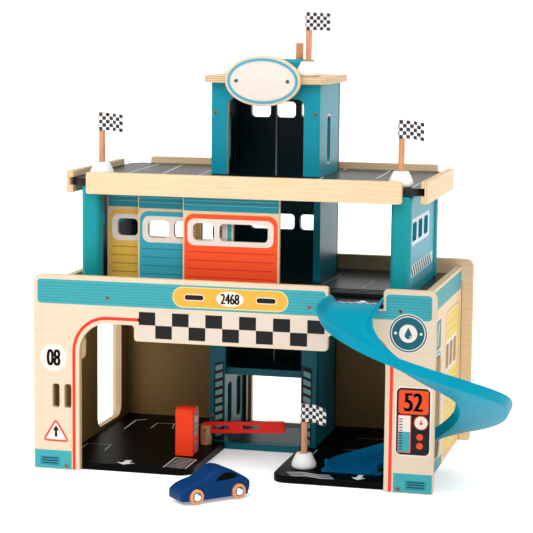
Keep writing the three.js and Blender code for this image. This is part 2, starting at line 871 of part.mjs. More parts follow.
function ramp() {
  const length = rampRoute.getLength();
  const jointShare = gap / length / 2;
  addMesh("ramp_upper", rampTrough(0, rampJointShare - jointShare), rampBlue);
  let lower = solid(rampTrough(rampJointShare + jointShare, 1));
  const bottom = baseTop + gap;
  const tabInner = rampFoot - rampFloor;
  [-1, 1].forEach((side) => {
    const near = rampEnd + side * tabInner;
    const far = rampEnd + side * (rampRimHalf + rampTab / 2);
    const left = Math.min(near, far);
    const right = Math.max(near, far);
    const back = rampLandingFront + rampTabLength;
    const tab = boxGeometry(left, rampLandingFront, bottom, right, back, bottom + rampTabThickness);
    lower = lower.add(solid(tab));
  });
  addMesh("ramp_lower", geometryOf(lower), rampBlue);
}

const barrierX = -shaftDoorHalf - barrierInset;
const barrierY = shaftFront - barrierAhead;
function fuelPump() {
  const pumpRight = -shaftDoorHalf - pumpInset;
  const pumpFront = barrierY - pumpAhead;
  const back = pumpFront + pumpDepth;
  const foot = baseTop + gap;
  const outline = [
    [pumpFront, foot, sharp],
    [back, foot, sharp],
    [back, foot + pumpHeight, pumpCorner],
    [pumpFront, foot + pumpHeight, pumpCorner],
  ];
  sideSheet("fuel_pump", outline, [], pumpWidth, pumpRed, pumpRight - pumpWidth, 2 * edgeBreak);
}

// The barrier's post is a dowel with a slot across its top, which the arm swings up in on a pin.
const barrierPivot = baseTop + gap + barrierPinLift;
function barrier() {
  const foot = baseTop + gap;
  const dowel = new THREE.CylinderGeometry(barrierPostRadius, barrierPostRadius, barrierPostHeight, 28);
  dowel.rotateX(Math.PI / 2);
  dowel.translate(barrierX, barrierY, foot + barrierPostHeight / 2);
  const half = barrierPostRadius + overrun;
  const slotBottom = barrierPivot - barrierArmHeight / 2 - gap;
  const slotTop = foot + barrierPostHeight + overrun;
  const slotFront = barrierY - barrierSlot / 2;
  const slot = boxGeometry(barrierX - half, slotFront, slotBottom, barrierX + half, slotFront + barrierSlot, slotTop);
  const bore = new THREE.CylinderGeometry(barrierPinRadius + gap, barrierPinRadius + gap, 2 * half, 16);
  bore.translate(barrierX, barrierY, barrierPivot);
  const post = solid(dowel).subtract(solid(slot)).subtract(solid(bore));
  addMesh("barrier_post", geometryOf(post), beech);

  const pin = new THREE.CylinderGeometry(barrierPinRadius, barrierPinRadius, 2 * barrierPostRadius, 16);
  addMesh("barrier_pin", pin, steel).position.set(barrierX, barrierY, barrierPivot);

  const low = barrierPinDrop - barrierArmHeight / 2;
  const high = barrierPinDrop + barrierArmHeight / 2;
  const slotLow = barrierPinDrop - barrierSlotHeight / 2;
  const slotHigh = barrierPinDrop + barrierSlotHeight / 2;
  const secondStart = barrierSlotStart + barrierSlotFirst + barrierSlotBar;
  const holes = [
    circlePoints(0, 0, barrierPinRadius + gap),
    box(barrierSlotStart, slotLow, barrierSlotStart + barrierSlotFirst, slotHigh, barrierSlotHeight / 2.1),
    box(secondStart, slotLow, secondStart + barrierSlotSecond, slotHigh, barrierSlotHeight / 2.1),
  ];
  const outline = [
    [-barrierArmTail, low, barrierArmHeight / 2.1],
    [barrierArmReach, low, doorCorner],
    [barrierArmReach, high, doorCorner],
    [-barrierArmTail, high, barrierArmHeight / 2.1],
  ];
  const arm = addMesh("barrier_arm", sheetGeometry(outline, holes, barrierArmThickness), barrierRed);
  arm.rotation.set(Math.PI / 2, 0, 0);
  arm.rotateZ(Math.PI * barrierRiseShare);
  arm.position.set(barrierX, barrierY + barrierArmThickness / 2, barrierPivot);
}

// The cabin stands in the base board's notch: floor, two slotted sides and a roof.
function liftCabin() {
  const floorPlan = box(-cabinHalf, cabinFront, cabinHalf, cabinBack, cabinCorner);
  const hole = circlePoints(cordX, cordY, cordRadius + gap);
  levelSheet("lift_floor", floorPlan, [], ply - gap, darkTeal, gap);
  levelSheet("lift_roof", floorPlan, [hole], ply, darkTeal, cabinHeight - ply);
  const side = box(cabinFront, baseTop + gap, cabinBack, cabinHeight - ply - gap);
  const slotFronts = [
    cabinFront + cabinSlotFrontInset,
    cabinBack - cabinSlotBackInset - cabinSlotWidth,
  ];
  const slots = slotFronts.map((front) =>
    box(front, cabinSlotSill, front + cabinSlotWidth, cabinSlotTop, cabinSlotCorner),
  );
  sideSheet("lift_left_side", side, slots, cabinSide, darkTeal, -cabinHalf);
  sideSheet("lift_right_side", side, slots, cabinSide, darkTeal, cabinHalf - cabinSide);
}

function cordGeometry(route, steps, sides) {
  const section = new THREE.Shape(
    [...Array(sides).keys()].map((k) =>
      new THREE.Vector2(cordRadius, 0).rotateAround(new THREE.Vector2(), (2 * Math.PI * k) / sides),
    ),
  );
  return new THREE.ExtrudeGeometry(section, { steps, extrudePath: route, bevelEnabled: false });
}

function liftCord() {
  const low = new THREE.Vector3(cordX, cordY, cabinHeight + gap);
  const high = new THREE.Vector3(cordX, cordY, cordSplit - gap);
  const geometry = cordGeometry(new THREE.LineCurve3(low, high), 1, 8);
  addMesh("lift_cord", geometry, cordGrey);
}

// One unbroken cord in six lengths: a short straight end, the quarter bend over the pin, the level
// run, the turns on the spool, a quarter bend down and a short straight end at the lower flange.
class WindingCurve extends THREE.Curve {
  constructor() {
    super();
    this.lengths = [
      cordEndRun,
      (Math.PI / 2) * cordBendRadius,
      cordX - cordBendRadius - crankX,
      2 * Math.PI * windRadius * cordTurns,
      (Math.PI / 2) * cordTailRadius,
      cordEndRun,
    ];
    this.total = this.lengths.reduce((sum, length) => sum + length, 0);
  }
  getPoint(share, target = new THREE.Vector3()) {
    const [end, bend, run, wound, tail] = this.lengths;
    const guideX = cordX - cordBendRadius;
    const coilBottom = cordLevel - cordPitch * cordTurns;
    let way = share * this.total;
    if (way < end) return target.set(cordX, cordY, cordSplit + way);
    way -= end;
    if (way < bend) {
      const angle = way / cordBendRadius;
      const z = cordPinLevel + cordBendRadius * Math.sin(angle);
      return target.set(guideX + cordBendRadius * Math.cos(angle), cordY, z);
    }
    way -= bend;
    if (way < run) return target.set(guideX - way, cordY, cordLevel);
    way -= run;
    if (way < wound) {
      const angle = way / windRadius;
      const x = crankX - windRadius * Math.sin(angle);
      const y = crankY - windRadius * Math.cos(angle);
      return target.set(x, y, cordLevel - (cordPitch * angle) / (2 * Math.PI));
    }
    way -= wound;
    if (way < tail) {
      const angle = way / cordTailRadius;
      const z = coilBottom - cordTailRadius * (1 - Math.cos(angle));
      return target.set(crankX - cordTailRadius * Math.sin(angle), cordY, z);
    }
    way -= tail;
    return target.set(crankX - cordTailRadius, cordY, coilBottom - cordTailRadius - way);
  }
}

// Least gap between the cord's surface and itself, over points half a turn or more apart along it
function leastCordGap(curve, samples) {
  const points = curve.getSpacedPoints(samples);
  const apart = Math.ceil((Math.PI * windRadius * samples) / curve.total);
  let least = Infinity;
  for (let i = 0; i + apart <= samples; i += 1) {
    for (let j = i + apart; j <= samples; j += 1) {
      least = Math.min(least, points[i].distanceTo(points[j]));
    }
  }
  return least - 2 * cordRadius;
}

const windingSteps = 86;
function cordWinding() {
  const curve = new WindingCurve();
  addMesh("cord_winding", cordGeometry(curve, windingSteps, 6), cordGrey);
  console.log(`cord winding: least gap to itself ${leastCordGap(curve, 900).toFixed(2)} mm`);
}

// Two cheeks hang from the tower roof and hold the pin that the cord runs over.
function cordGuide() {
  const pinRadius = cordBendRadius - cordRadius - gap;
  const centreX = cordX - cordBendRadius;
  const cheekInner = cordRadius + gap;
  const cheekOuter = cheekInner + guideCheek;
  const left = centreX - guideCheekHalf;
  const right = centreX + guideCheekHalf;
  const bottom = cordPinLevel - guideCheekHalf;
  const near = boxGeometry(left, cordY - cheekOuter, bottom, right, cordY - cheekInner, ceiling);
  const far = boxGeometry(left, cordY + cheekInner, bottom, right, cordY + cheekOuter, ceiling);
  const pin = new THREE.CylinderGeometry(pinRadius, pinRadius, cheekInner + cheekOuter, 16);
  pin.translate(centreX, cordY, cordPinLevel);
  addMesh("cord_guide", geometryOf(solid(near).add(solid(far)).add(solid(pin))), steel);
}

function lathe(profile, segments) {
  const geometry = new THREE.LatheGeometry(
    profile.map(([radius, height]) => new THREE.Vector2(radius, height)),
    segments,
  );
  geometry.rotateX(Math.PI / 2);
  return geometry;
}

// One turned axle carries the spool under the tower roof and the collar on top of it.
function windingGear() {
  const spoolBottom = ceiling - spoolHeight;
  const plateTop = towerTop + ply;
  const armBottom = plateTop + crankCollar;
  const axleTop = armBottom - gap;
  const axle = lathe(
    [
      [0, spoolBottom],
      [spoolFlange, spoolBottom],
      [spoolFlange, spoolBottom + spoolFlangeThickness],
      [spoolRadius, spoolBottom + spoolFlangeThickness],
      [spoolRadius, ceiling - spoolFlangeThickness],
      [spoolFlange, ceiling - spoolFlangeThickness],
      [spoolFlange, ceiling],
      [axleRadius, ceiling],
      [axleRadius, plateTop + gap],
      [crankCollarRadius, plateTop + gap],
      [crankCollarRadius, axleTop],
      [0, axleTop],
    ],
    32,
  );
  addMesh("crank_axle", axle, beech).position.set(crankX, crankY, 0);

  // The arm and its handle turn together with the crank's resting angle.
  const crank = new THREE.Group();
  crank.position.set(crankX, crankY, armBottom);
  crank.rotation.z = Math.PI * crankTurnShare;
  garage.add(crank);
  const outline = [
    [-crankArmTail, -crankArmHalf, crankArmCorner],
    [crankReach + crankArmEnd, -crankArmHalf, crankArmCorner],
    [crankReach + crankArmEnd, crankArmHalf, crankArmCorner],
    [-crankArmTail, crankArmHalf, crankArmCorner],
  ];
  const seat = circlePoints(crankReach, 0, handleRadius + gap);
  const blank = sheetGeometry(outline, [], crankArmThickness, crankArmBreak, 3);
  const seatCut = sheetGeometry(seat, [], handleSeat + overrun, sharp);
  seatCut.translate(0, 0, crankArmThickness - handleSeat);
  addMesh("crank_arm", geometryOf(solid(blank).subtract(solid(seatCut))), teal, crank);

  const height = handleHeight + handleSeat - gap;
  const handle = lathe(
    [
      [0, 0],
      [handleRadius, 0],
      [handleRadius, height - handleBreak],
      [handleRadius - handleBreak, height],
      [0, height],
    ],
    28,
  );
  const handleMesh = addMesh("crank_handle", handle, beech, crank);
  handleMesh.position.set(crankReach, 0, crankArmThickness - handleSeat + gap);
}

// A banner is a thin sheet that goes once round its pole and then flies free, with soft upright waves
// that grow away from the pole and a little droop.
const sleeveSteps = 12;
const flySteps = 14;
const bannerSteps = sleeveSteps + flySteps;
const sleeveStartShare = 0.03;
const sleeveEndShare = 0.83;
function bannerPoint(k) {
  const radius = flagPoleRadius + gap + bannerThickness / 2;
  const turned = Math.min(1, k / sleeveSteps);
  const angle = 2 * Math.PI * (sleeveStartShare + (sleeveEndShare - sleeveStartShare) * turned);
  const sleeve = new THREE.Vector3(radius * Math.cos(angle), radius * Math.sin(angle), 0);
  if (k <= sleeveSteps) return sleeve;
  const way = (k - sleeveSteps) / flySteps;
  const end = flagPoleRadius + gap + bannerWidth;
  const x = sleeve.x + (end - sleeve.x) * way;
  const y = sleeve.y * (1 - way) ** 3 + bannerWave * way * Math.sin(2 * Math.PI * way);
  return new THREE.Vector3(x, y, way * way);
}

function bannerGeometry(drop) {
  const points = [...Array(bannerSteps + 1).keys()].map(bannerPoint);
  const positions = [];
  points.forEach((point, k) => {
    const before = points[Math.max(k - 1, 0)];
    const after = points[Math.min(k + 1, bannerSteps)];
    const across = new THREE.Vector2(before.y - after.y, after.x - before.x);
    across.setLength(bannerThickness / 2);
    const low = -drop * point.z;
    const high = bannerHeight + low;
    const near = [point.x - across.x, point.y - across.y];
    const far = [point.x + across.x, point.y + across.y];
    positions.push(...near, low, ...far, low, ...far, high, ...near, high);
  });
  const indices = [];
  for (let k = 0; k < bannerSteps; k += 1) {
    for (let i = 0; i < 4; i += 1) {
      const a = k * 4 + i;
      const b = k * 4 + ((i + 1) % 4);
      indices.push(a, b, a + 4, b, b + 4, a + 4);
    }
  }
  const last = bannerSteps * 4;
  indices.push(0, 2, 1, 0, 3, 2);
  indices.push(last, last + 1, last + 2, last, last + 2, last + 3);
  const geometry = new THREE.BufferGeometry();
  geometry.setAttribute("position", new THREE.Float32BufferAttribute(positions, 3));
  geometry.setIndex(indices);
  geometry.computeVertexNormals();
  return geometry;
}

function flag(name, x, y, ground, droopShare) {
  const stand = new THREE.Group();
  stand.position.set(x, y, ground + gap);
  garage.add(stand);
  const seatBottom = flagBaseHeight - flagPoleSeat;
  const bore = flagPoleRadius + gap;
  const base = lathe(
    [
      [0, 0],
      [flagBaseFoot, 0],
      [flagBaseRadius, flagBaseBelly / 3],
      [flagBaseRadius, flagBaseBelly],
      [flagBaseTop + edgeBreak, flagBaseHeight - edgeBreak],
      [flagBaseTop, flagBaseHeight],
      [bore, flagBaseHeight],
      [bore, seatBottom],
      [0, seatBottom],
    ],
    28,
  );
  addMesh(`${name}_base`, base, white, stand);
  const poleBottom = seatBottom + gap;
  const poleLength = flagPoleHeight - poleBottom;
  const pole = new THREE.CylinderGeometry(flagPoleRadius, flagPoleRadius, poleLength, 16);
  pole.rotateX(Math.PI / 2);
  addMesh(`${name}_pole`, pole, beech, stand).position.z = poleBottom + poleLength / 2;
  const cloth = bannerGeometry(bannerDrop * droopShare);
  const banner = addMesh(`${name}_banner`, cloth, clothCheck, stand);
  banner.position.z = flagPoleHeight - bannerHeight - bannerBelowTop;
}

// The car's side profile as shares of its length and of its height above the floor pan.
const carProfileShares = [
  [0.02, 0], [0, 0.1], [0, 0.27], [0.03, 0.38], [0.1, 0.49], [0.2, 0.57], [0.3, 0.63],
  [0.37, 0.74], [0.45, 0.88], [0.53, 0.96], [0.61, 0.97], [0.7, 0.9], [0.8, 0.77], [0.9, 0.62],
  [0.97, 0.5], [1, 0.4], [1, 0.2], [0.97, 0.03], [0.95, 0],
];
const carWindowShares = [
  [0.51, 0.59], [0.56, 0.74], [0.63, 0.81], [0.71, 0.78], [0.785, 0.67], [0.765, 0.61],
];
function car() {
  const body = new THREE.Group();
  body.position.set(carX, carY, 0);
  body.rotation.z = Math.PI * carTurnShare;
  garage.add(body);
  const bodyHeight = carHeight;
  const profile = carProfileShares.map(([u, v]) => [u * carLength, v * bodyHeight, sharp]);
  const block = sheetGeometry(profile.reverse(), [], carWidth, carEdge / 2);
  block.rotateX(Math.PI / 2);
  block.translate(-carLength / 2, carWidth / 2, carFloor);
  let shell = solid(block);
  const rearAxle = carLength / 2 - rearOverhang;
  const frontAxle = rearAxle - wheelBase;
  [frontAxle, rearAxle].forEach((x) => {
    [-1, 1].forEach((side) => {
      const arch = new THREE.CylinderGeometry(wheelArch, wheelArch, wheelHouseDepth + overrun, 28);
      arch.translate(x, (side * (carWidth - wheelHouseDepth + overrun)) / 2, wheelRadius);
      shell = shell.subtract(solid(arch));
    });
    const bore = new THREE.CylinderGeometry(carAxleRadius + gap, carAxleRadius + gap, 2 * carWidth, 12);
    bore.translate(x, 0, wheelRadius);
    shell = shell.subtract(solid(bore));
  });
  const window = carWindowShares.map(([u, v]) => [u * carLength, v * bodyHeight, sharp]);
  [-1, 1].forEach((side) => {
    const pane = sheetGeometry(window.toReversed(), [], carWindowDepth + overrun, sharp);
    pane.rotateX(Math.PI / 2);
    const outer = (side * carWidth) / 2;
    const reach = side > 0 ? overrun : carWindowDepth;
    pane.translate(-carLength / 2, outer + reach, carFloor);
    shell = shell.subtract(solid(pane));
  });
  addMesh("car_body", geometryOf(shell), carBlue, body);
  const wheelInner = carWidth / 2 - wheelHouseDepth + gap;
  const wheelOuter = wheelInner + wheelWidth;
  const hub = wheelRadius / 2.2;
  const wheelPair = lathe(
    [
      [0, -wheelOuter - wheelProud],
      [hub, -wheelOuter],
      [wheelRadius - edgeBreak, -wheelOuter],
      [wheelRadius, -wheelOuter + edgeBreak],
      [wheelRadius, -wheelInner - edgeBreak],
      [wheelRadius - edgeBreak, -wheelInner],
      [carAxleRadius, -wheelInner],
      [carAxleRadius, wheelInner],
      [wheelRadius - edgeBreak, wheelInner],
      [wheelRadius, wheelInner + edgeBreak],
      [wheelRadius, wheelOuter - edgeBreak],
      [wheelRadius - edgeBreak, wheelOuter],
      [hub, wheelOuter],
      [0, wheelOuter + wheelProud],
    ],
    28,
  );
  wheelPair.rotateX(Math.PI / 2);
  const pairs = { car_front_wheels: frontAxle, car_rear_wheels: rearAxle };
  Object.entries(pairs).forEach(([name, x]) => {
    addMesh(name, wheelPair.clone(), beech, body).position.set(x, 0, wheelRadius);
  });
}

baseBoard();
frontFacade();
backPanel();
sideWalls();
firstFloorDeck();
shaftWalls();
shaftFrontFrame();
shaftBackWall();
towerFrontWall();
towerRoof();
ovalSign();
roofDeck();
roofRails();
parapets();
upperPosts();
upperPanels();
doorTracks();
slidingDoor("red_door", doorRed, 0, redDoorShift);
slidingDoor("blue_door", doorBlue, 1, blueDoorShift);
slidingDoor("yellow_door", doorYellow, 2, 0);
ramp();
fuelPump();
barrier();
liftCabin();
liftCord();
cordWinding();
cordGuide();
windingGear();
const leftFlagX = leftFlagInset - roofHalfWidth;
const rightFlagX = roofHalfWidth - rightFlagInset;
const towerFlagX = shaftHalf - towerFlagInset;
const towerFlagY = shaftFront + towerFlagSetback;
const baseFlagX = shaftDoorHalf + baseFlagInset;
flag("flag_left", leftFlagX, postFront + leftFlagSetback, roofLevel, leftFlagDroopShare);
flag("flag_right", rightFlagX, postFront + rightFlagSetback, roofLevel, rightFlagDroopShare);
flag("flag_tower", towerFlagX, towerFlagY, towerTop + ply, towerFlagDroopShare);
flag("flag_ground", baseFlagX, baseFlagY, baseTop, baseFlagDroopShare);
car();

export default garage;
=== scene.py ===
# %% [markdown]
# # A wooden toy parking garage with a lift
# The real toy is a box of 9 mm birch plywood boards, some clear-lacquered and printed, some painted
# teal or black, with a glossy blue plastic ramp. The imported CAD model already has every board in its
# place, so this lesson loads it as a frame and adds what the eye looks for: finishes, prints, screws,
# rounded edges, cloth and the toy car's shape.

import math

import bmesh
import bpy
from mathutils import Matrix, Vector
from mathutils.geometry import tessellate_polygon


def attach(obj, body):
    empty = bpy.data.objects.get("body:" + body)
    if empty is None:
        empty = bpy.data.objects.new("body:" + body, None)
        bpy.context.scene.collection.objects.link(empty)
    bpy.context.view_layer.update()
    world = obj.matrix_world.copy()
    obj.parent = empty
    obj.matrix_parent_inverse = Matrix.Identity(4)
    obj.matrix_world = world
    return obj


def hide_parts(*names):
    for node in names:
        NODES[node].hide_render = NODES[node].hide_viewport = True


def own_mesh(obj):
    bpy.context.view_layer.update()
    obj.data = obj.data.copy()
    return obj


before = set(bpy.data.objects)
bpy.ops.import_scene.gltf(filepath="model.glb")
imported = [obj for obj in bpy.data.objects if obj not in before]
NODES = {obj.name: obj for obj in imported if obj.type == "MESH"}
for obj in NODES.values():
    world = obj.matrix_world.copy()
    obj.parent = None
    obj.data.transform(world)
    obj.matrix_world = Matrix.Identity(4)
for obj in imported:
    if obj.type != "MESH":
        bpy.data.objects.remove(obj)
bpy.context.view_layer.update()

# %% [markdown]
# ## Millimetres and the garage's own axes
# A toy maker measures from the middle of the facade. X runs right from there, Y runs back from the
# facade's front face and Z runs up from the floor. One function turns such a place into Blender's
# metres, so every number below can be read off the drawing.

# %% Places in millimetres
MM = 0.001
ORIGIN_X, ORIGIN_Y = 48.3, 76.75


def at(x, y, z):
    return Vector(((x - ORIGIN_X) * MM, (y - ORIGIN_Y) * MM, z * MM))


print("facade middle in metres", tuple(round(v, 4) for v in at(0, 0, 0)))

# %% [markdown]
# ## Camera
# The photograph was taken from the right and a little above with a long lens, so upright lines stay
# nearly parallel. The place and angles come from fitting the garage's corners to the picture.

# %% Camera
PHOTO_PIXELS = 533
FOCAL_PIXELS = 1967.43
AZIMUTH, ELEVATION, ROLL = (math.radians(v) for v in (13.83, 7.61, 0.60))
backward = Vector((math.sin(AZIMUTH) * math.cos(ELEVATION), -math.cos(AZIMUTH) * math.cos(ELEVATION), math.sin(ELEVATION)))
sideways = Vector((math.cos(AZIMUTH), math.sin(AZIMUTH), 0))
upward = backward.cross(sideways)
right_axis = sideways * math.cos(ROLL) + upward * math.sin(ROLL)
up_axis = upward * math.cos(ROLL) - sideways * math.sin(ROLL)

camera_data = bpy.data.cameras.new("photo_camera")
camera_data.sensor_width = 36
camera_data.lens = FOCAL_PIXELS / PHOTO_PIXELS * 36
camera_data.clip_end = 200
camera = bpy.data.objects.new("photo_camera", camera_data)
bpy.context.collection.objects.link(camera)
turned = [[right_axis[i], up_axis[i], backward[i]] for i in range(3)]
place = at(600.05, -2255.81, 575.20)
camera.matrix_world = Matrix([[*turned[i], place[i]] for i in range(3)] + [[0, 0, 0, 1]])
bpy.context.scene.camera = camera
print("lens", round(camera_data.lens, 1), "mm")

# %% [markdown]
# ## Studio
# The toy stands on a white acrylic table that is lit from below a little, so that hardly any shadow
# is left round it. A wide overhead light hangs in front of it and a white wall stands
# behind, so the room is drawn as a sky that is bright high up in front, dim at eye level in front
# and white behind. Light that comes from high up leaves the inside of the garage dark, as in the
# picture, and the white wall gives the boards that are seen at a shallow angle their glare.

# %% Colours
def colour(hex_code):
    channels = [int(hex_code[i : i + 2], 16) / 255 for i in (1, 3, 5)]
    linear = [c / 12.92 if c <= 0.04045 else ((c + 0.055) / 1.055) ** 2.4 for c in channels]
    return (*linear, 1)


print("birch in linear light", [round(v, 3) for v in colour("#F7DFBC")])

# %% Adding a node
def add(tree, kind, links=None, **settings):
    node = tree.nodes.new(kind)
    for key, value in settings.items():
        setattr(node, key, value)
    for socket, value in (links or {}).items():
        target = node.inputs[socket]
        if isinstance(value, bpy.types.NodeSocket):
            tree.links.new(value, target)
        else:
            target.default_value = value
    return node


def new_finish(name):
    finish = bpy.data.materials.new(name)
    finish.use_nodes = True
    tree = finish.node_tree
    return finish, tree, tree.nodes["Principled BSDF"]


print("node helper ready")

# %% Table and lights
def white_table():
    finish, tree, shader = new_finish("matt_white_table")
    where = add(tree, "ShaderNodeTexCoord")
    cloud = add(tree, "ShaderNodeTexNoise", {"Vector": where.outputs["Object"], "Scale": 3.0})
    tint = add(tree, "ShaderNodeMix", {"Factor": cloud.outputs["Fac"], "A": colour("#F7F7F7"), "B": colour("#FFFFFF")}, data_type="RGBA")
    tree.links.new(tint.outputs["Result"], shader.inputs["Base Color"])
    shader.inputs["Roughness"].default_value = 0.75
    shader.inputs["Emission Color"].default_value = colour("#FFFFFF")
    shader.inputs["Emission Strength"].default_value = 0.3
    return finish


table_mesh = bpy.data.meshes.new("table")
reach = 40
table_mesh.from_pydata([(-reach, -reach, -0.0004), (reach, -reach, -0.0004), (reach, reach, -0.0004), (-reach, reach, -0.0004)], [], [(0, 1, 2, 3)])
table = bpy.data.objects.new("table", table_mesh)
table.data.materials.append(white_table())
bpy.context.collection.objects.link(table)

world = bpy.data.worlds.new("soft_room")
world.use_nodes = True
room = world.node_tree
direction = add(room, "ShaderNodeTexCoord")
axes = add(room, "ShaderNodeSeparateXYZ", {"Vector": direction.outputs["Generated"]})
front = add(room, "ShaderNodeValToRGB", {"Fac": axes.outputs["Z"]})
back = add(room, "ShaderNodeValToRGB", {"Fac": axes.outputs["Z"]})
for ramp, levels in ((front, ((0.0, 0.12), (0.30, 0.14), (0.50, 0.95), (0.85, 0.95), (1.0, 0.60))), (back, ((0.0, 0.36), (0.18, 0.36), (0.30, 0.14), (0.7, 0.14), (1.0, 0.60)))):
    while len(ramp.color_ramp.elements) < len(levels):
        ramp.color_ramp.elements.new(0.5)
    for element, (height, level) in zip(ramp.color_ramp.elements, levels):
        element.position = height
        element.color = (level, level, level, 1)
ahead = add(room, "ShaderNodeMapRange", {"Value": axes.outputs["Y"], "From Min": 0.1, "From Max": -0.2})
both = add(room, "ShaderNodeMix", {"Factor": ahead.outputs["Result"], "A": back.outputs["Color"], "B": front.outputs["Color"]}, data_type="RGBA")
room.links.new(both.outputs["Result"], room.nodes["Background"].inputs["Color"])
room.nodes["Background"].inputs["Strength"].default_value = 3.0
bpy.context.scene.world = world
bpy.context.scene.view_settings.view_transform = "Standard"


def soft_box(name, position, size, watts, target=(0, 150, 200)):
    data = bpy.data.lights.new(name, "AREA")
    data.size = size
    data.energy = watts
    lamp = bpy.data.objects.new(name, data)
    bpy.context.collection.objects.link(lamp)
    lamp.location = at(*position)
    lamp.rotation_euler = (at(*target) - lamp.location).to_track_quat("-Z", "Y").to_euler()
    return lamp


soft_box("key_soft_box", (-900, -1500, 2100), 1.6, 8)
# %% [markdown]
# ## Birch plywood
# The boards are birch plywood with a clear matt lacquer. The face is rotary-cut veneer: pale, with
# long soft grain lines and a few short flecks. A sawn edge shows seven plies of 1.3 mm, light and
# dark in turn. An image would repeat and can't show both, so two stretched noises draw the face and
# a band pattern draws the edge, and the board's own normal chooses between them. The faces that look
# into the ground floor are drawn browner and darker: painted shade, as little light reaches in there.

# %% Wood grain on faces and plies on edges
AXES = {"X": 0, "Y": 1, "Z": 2}
FACE_GRAIN_MM = 2.6
PLY_MM = 2.57


def grain(tree, along, grain_mm=FACE_GRAIN_MM, stretch=16):
    """A value from 0 to 1 in fine lines that run along one axis, drawn about three times as coarse as real pores so that they show."""
    where = add(tree, "ShaderNodeTexCoord")
    fine = 1 / (grain_mm * MM)
    scale = [fine, fine, fine]
    scale[AXES[along]] = fine / stretch
    stretched = add(tree, "ShaderNodeMapping", {"Vector": where.outputs["Object"], "Scale": scale})
    lines = add(tree, "ShaderNodeTexNoise", {"Vector": stretched.outputs["Vector"], "Scale": 1.0, "Detail": 5.0, "Roughness": 0.62, "Distortion": 0.35})
    return where, lines.outputs["Fac"]


def edge_mask(tree, thickness_axis):
    """1 on a board's sawn edges and 0 on its two faces."""
    shape = add(tree, "ShaderNodeNewGeometry")
    parts = add(tree, "ShaderNodeSeparateXYZ", {"Vector": shape.outputs["Normal"]})
    size = add(tree, "ShaderNodeMath", {0: parts.outputs[thickness_axis]}, operation="ABSOLUTE")
    edge = add(tree, "ShaderNodeMath", {0: size.outputs["Value"], 1: 0.7}, operation="LESS_THAN")
    return edge.outputs["Value"]


def plies(tree, where, thickness_axis, light="#CEB793", dark="#BA976B"):
    """Thin light and dark layers across a board's thickness."""
    bands = add(tree, "ShaderNodeTexWave", {"Vector": where.outputs["Object"], "Scale": 2 * math.pi / (20 * PLY_MM * MM), "Distortion": 0.6, "Detail": 1.0, "Detail Scale": 8.0}, wave_type="BANDS", bands_direction=thickness_axis)
    steps = add(tree, "ShaderNodeValToRGB", {"Fac": bands.outputs["Fac"]})
    steps.color_ramp.elements[0].position = 0.35
    steps.color_ramp.elements[0].color = colour(dark)
    steps.color_ramp.elements[1].position = 0.62
    steps.color_ramp.elements[1].color = colour(light)
    return steps.outputs["Color"]


def inner_face(tree, where):
    """1 on the faces that look into the ground floor, where shade is painted, and 0 outside."""
    shape = add(tree, "ShaderNodeNewGeometry")
    from_middle = add(tree, "ShaderNodeVectorMath", {0: where.outputs["Object"], 1: at(0, 160, 0)}, operation="SUBTRACT")
    flat = add(tree, "ShaderNodeVectorMath", {0: from_middle.outputs["Vector"], 1: (1, 1, 0)}, operation="MULTIPLY")
    outwards = add(tree, "ShaderNodeVectorMath", {0: flat.outputs["Vector"], 1: shape.outputs["Normal"]}, operation="DOT_PRODUCT")
    inwards = add(tree, "ShaderNodeMath", {0: outwards.outputs["Value"], 1: -0.05}, operation="LESS_THAN")
    parts = add(tree, "ShaderNodeSeparateXYZ", {"Vector": where.outputs["Object"]})
    low = add(tree, "ShaderNodeMath", {0: parts.outputs["Z"], 1: 215 * MM}, operation="LESS_THAN")
    between_walls = add(tree, "ShaderNodeMath", {0: parts.outputs["X"], 1: at(0, 0, 0).x, 2: 236 * MM}, operation="COMPARE")
    low_inwards = add(tree, "ShaderNodeMath", {0: inwards.outputs["Value"], 1: low.outputs["Value"]}, operation="MULTIPLY")
    return add(tree, "ShaderNodeMath", {0: low_inwards.outputs["Value"], 1: between_walls.outputs["Value"]}, operation="MULTIPLY").outputs["Value"]


def birch_plywood(name, thickness_axis, along, light="#D6BFA2", dark="#CBA77A", haze="#D1B48D"):
    finish, tree, shader = new_finish(name)
    where, lines = grain(tree, along)
    tone = add(tree, "ShaderNodeValToRGB", {"Fac": lines})
    tone.color_ramp.elements[0].position = 0.30
    tone.color_ramp.elements[0].color = colour(dark)
    tone.color_ramp.elements[1].position = 0.62
    tone.color_ramp.elements[1].color = colour(light)
    broad = add(tree, "ShaderNodeMapping", {"Vector": where.outputs["Object"], "Scale": [5 if axis == along else 38 for axis in AXES]})
    cloud = add(tree, "ShaderNodeTexNoise", {"Vector": broad.outputs["Vector"], "Scale": 1.0, "Detail": 3.0})
    warm = add(tree, "ShaderNodeMix", {"Factor": cloud.outputs["Fac"], "A": tone.outputs["Color"], "B": colour(haze)}, data_type="RGBA", blend_type="MIX")
    # Painted shade: the faces that look into the ground floor are multiplied by a warm brown, as little light reaches
    # them.
    shaded_inside_tone = add(tree, "ShaderNodeMix", {"Factor": 1.0, "A": warm.outputs["Result"], "B": colour("#B6A273")}, data_type="RGBA", blend_type="MULTIPLY")
    inside_or_out = add(tree, "ShaderNodeMix", {"Factor": inner_face(tree, where), "A": warm.outputs["Result"], "B": shaded_inside_tone.outputs["Result"]}, data_type="RGBA")
    face_or_edge = add(tree, "ShaderNodeMix", {"Factor": edge_mask(tree, thickness_axis), "A": inside_or_out.outputs["Result"], "B": plies(tree, where, thickness_axis)}, data_type="RGBA")
    tree.links.new(face_or_edge.outputs["Result"], shader.inputs["Base Color"])
    relief = add(tree, "ShaderNodeBump", {"Height": lines, "Strength": 0.12, "Distance": 0.0002})
    tree.links.new(relief.outputs["Normal"], shader.inputs["Normal"])
    shader.inputs["Roughness"].default_value = 0.5
    shader.inputs["Specular IOR Level"].default_value = 0.3
    shader.inputs["IOR"].default_value = 1.5
    return finish


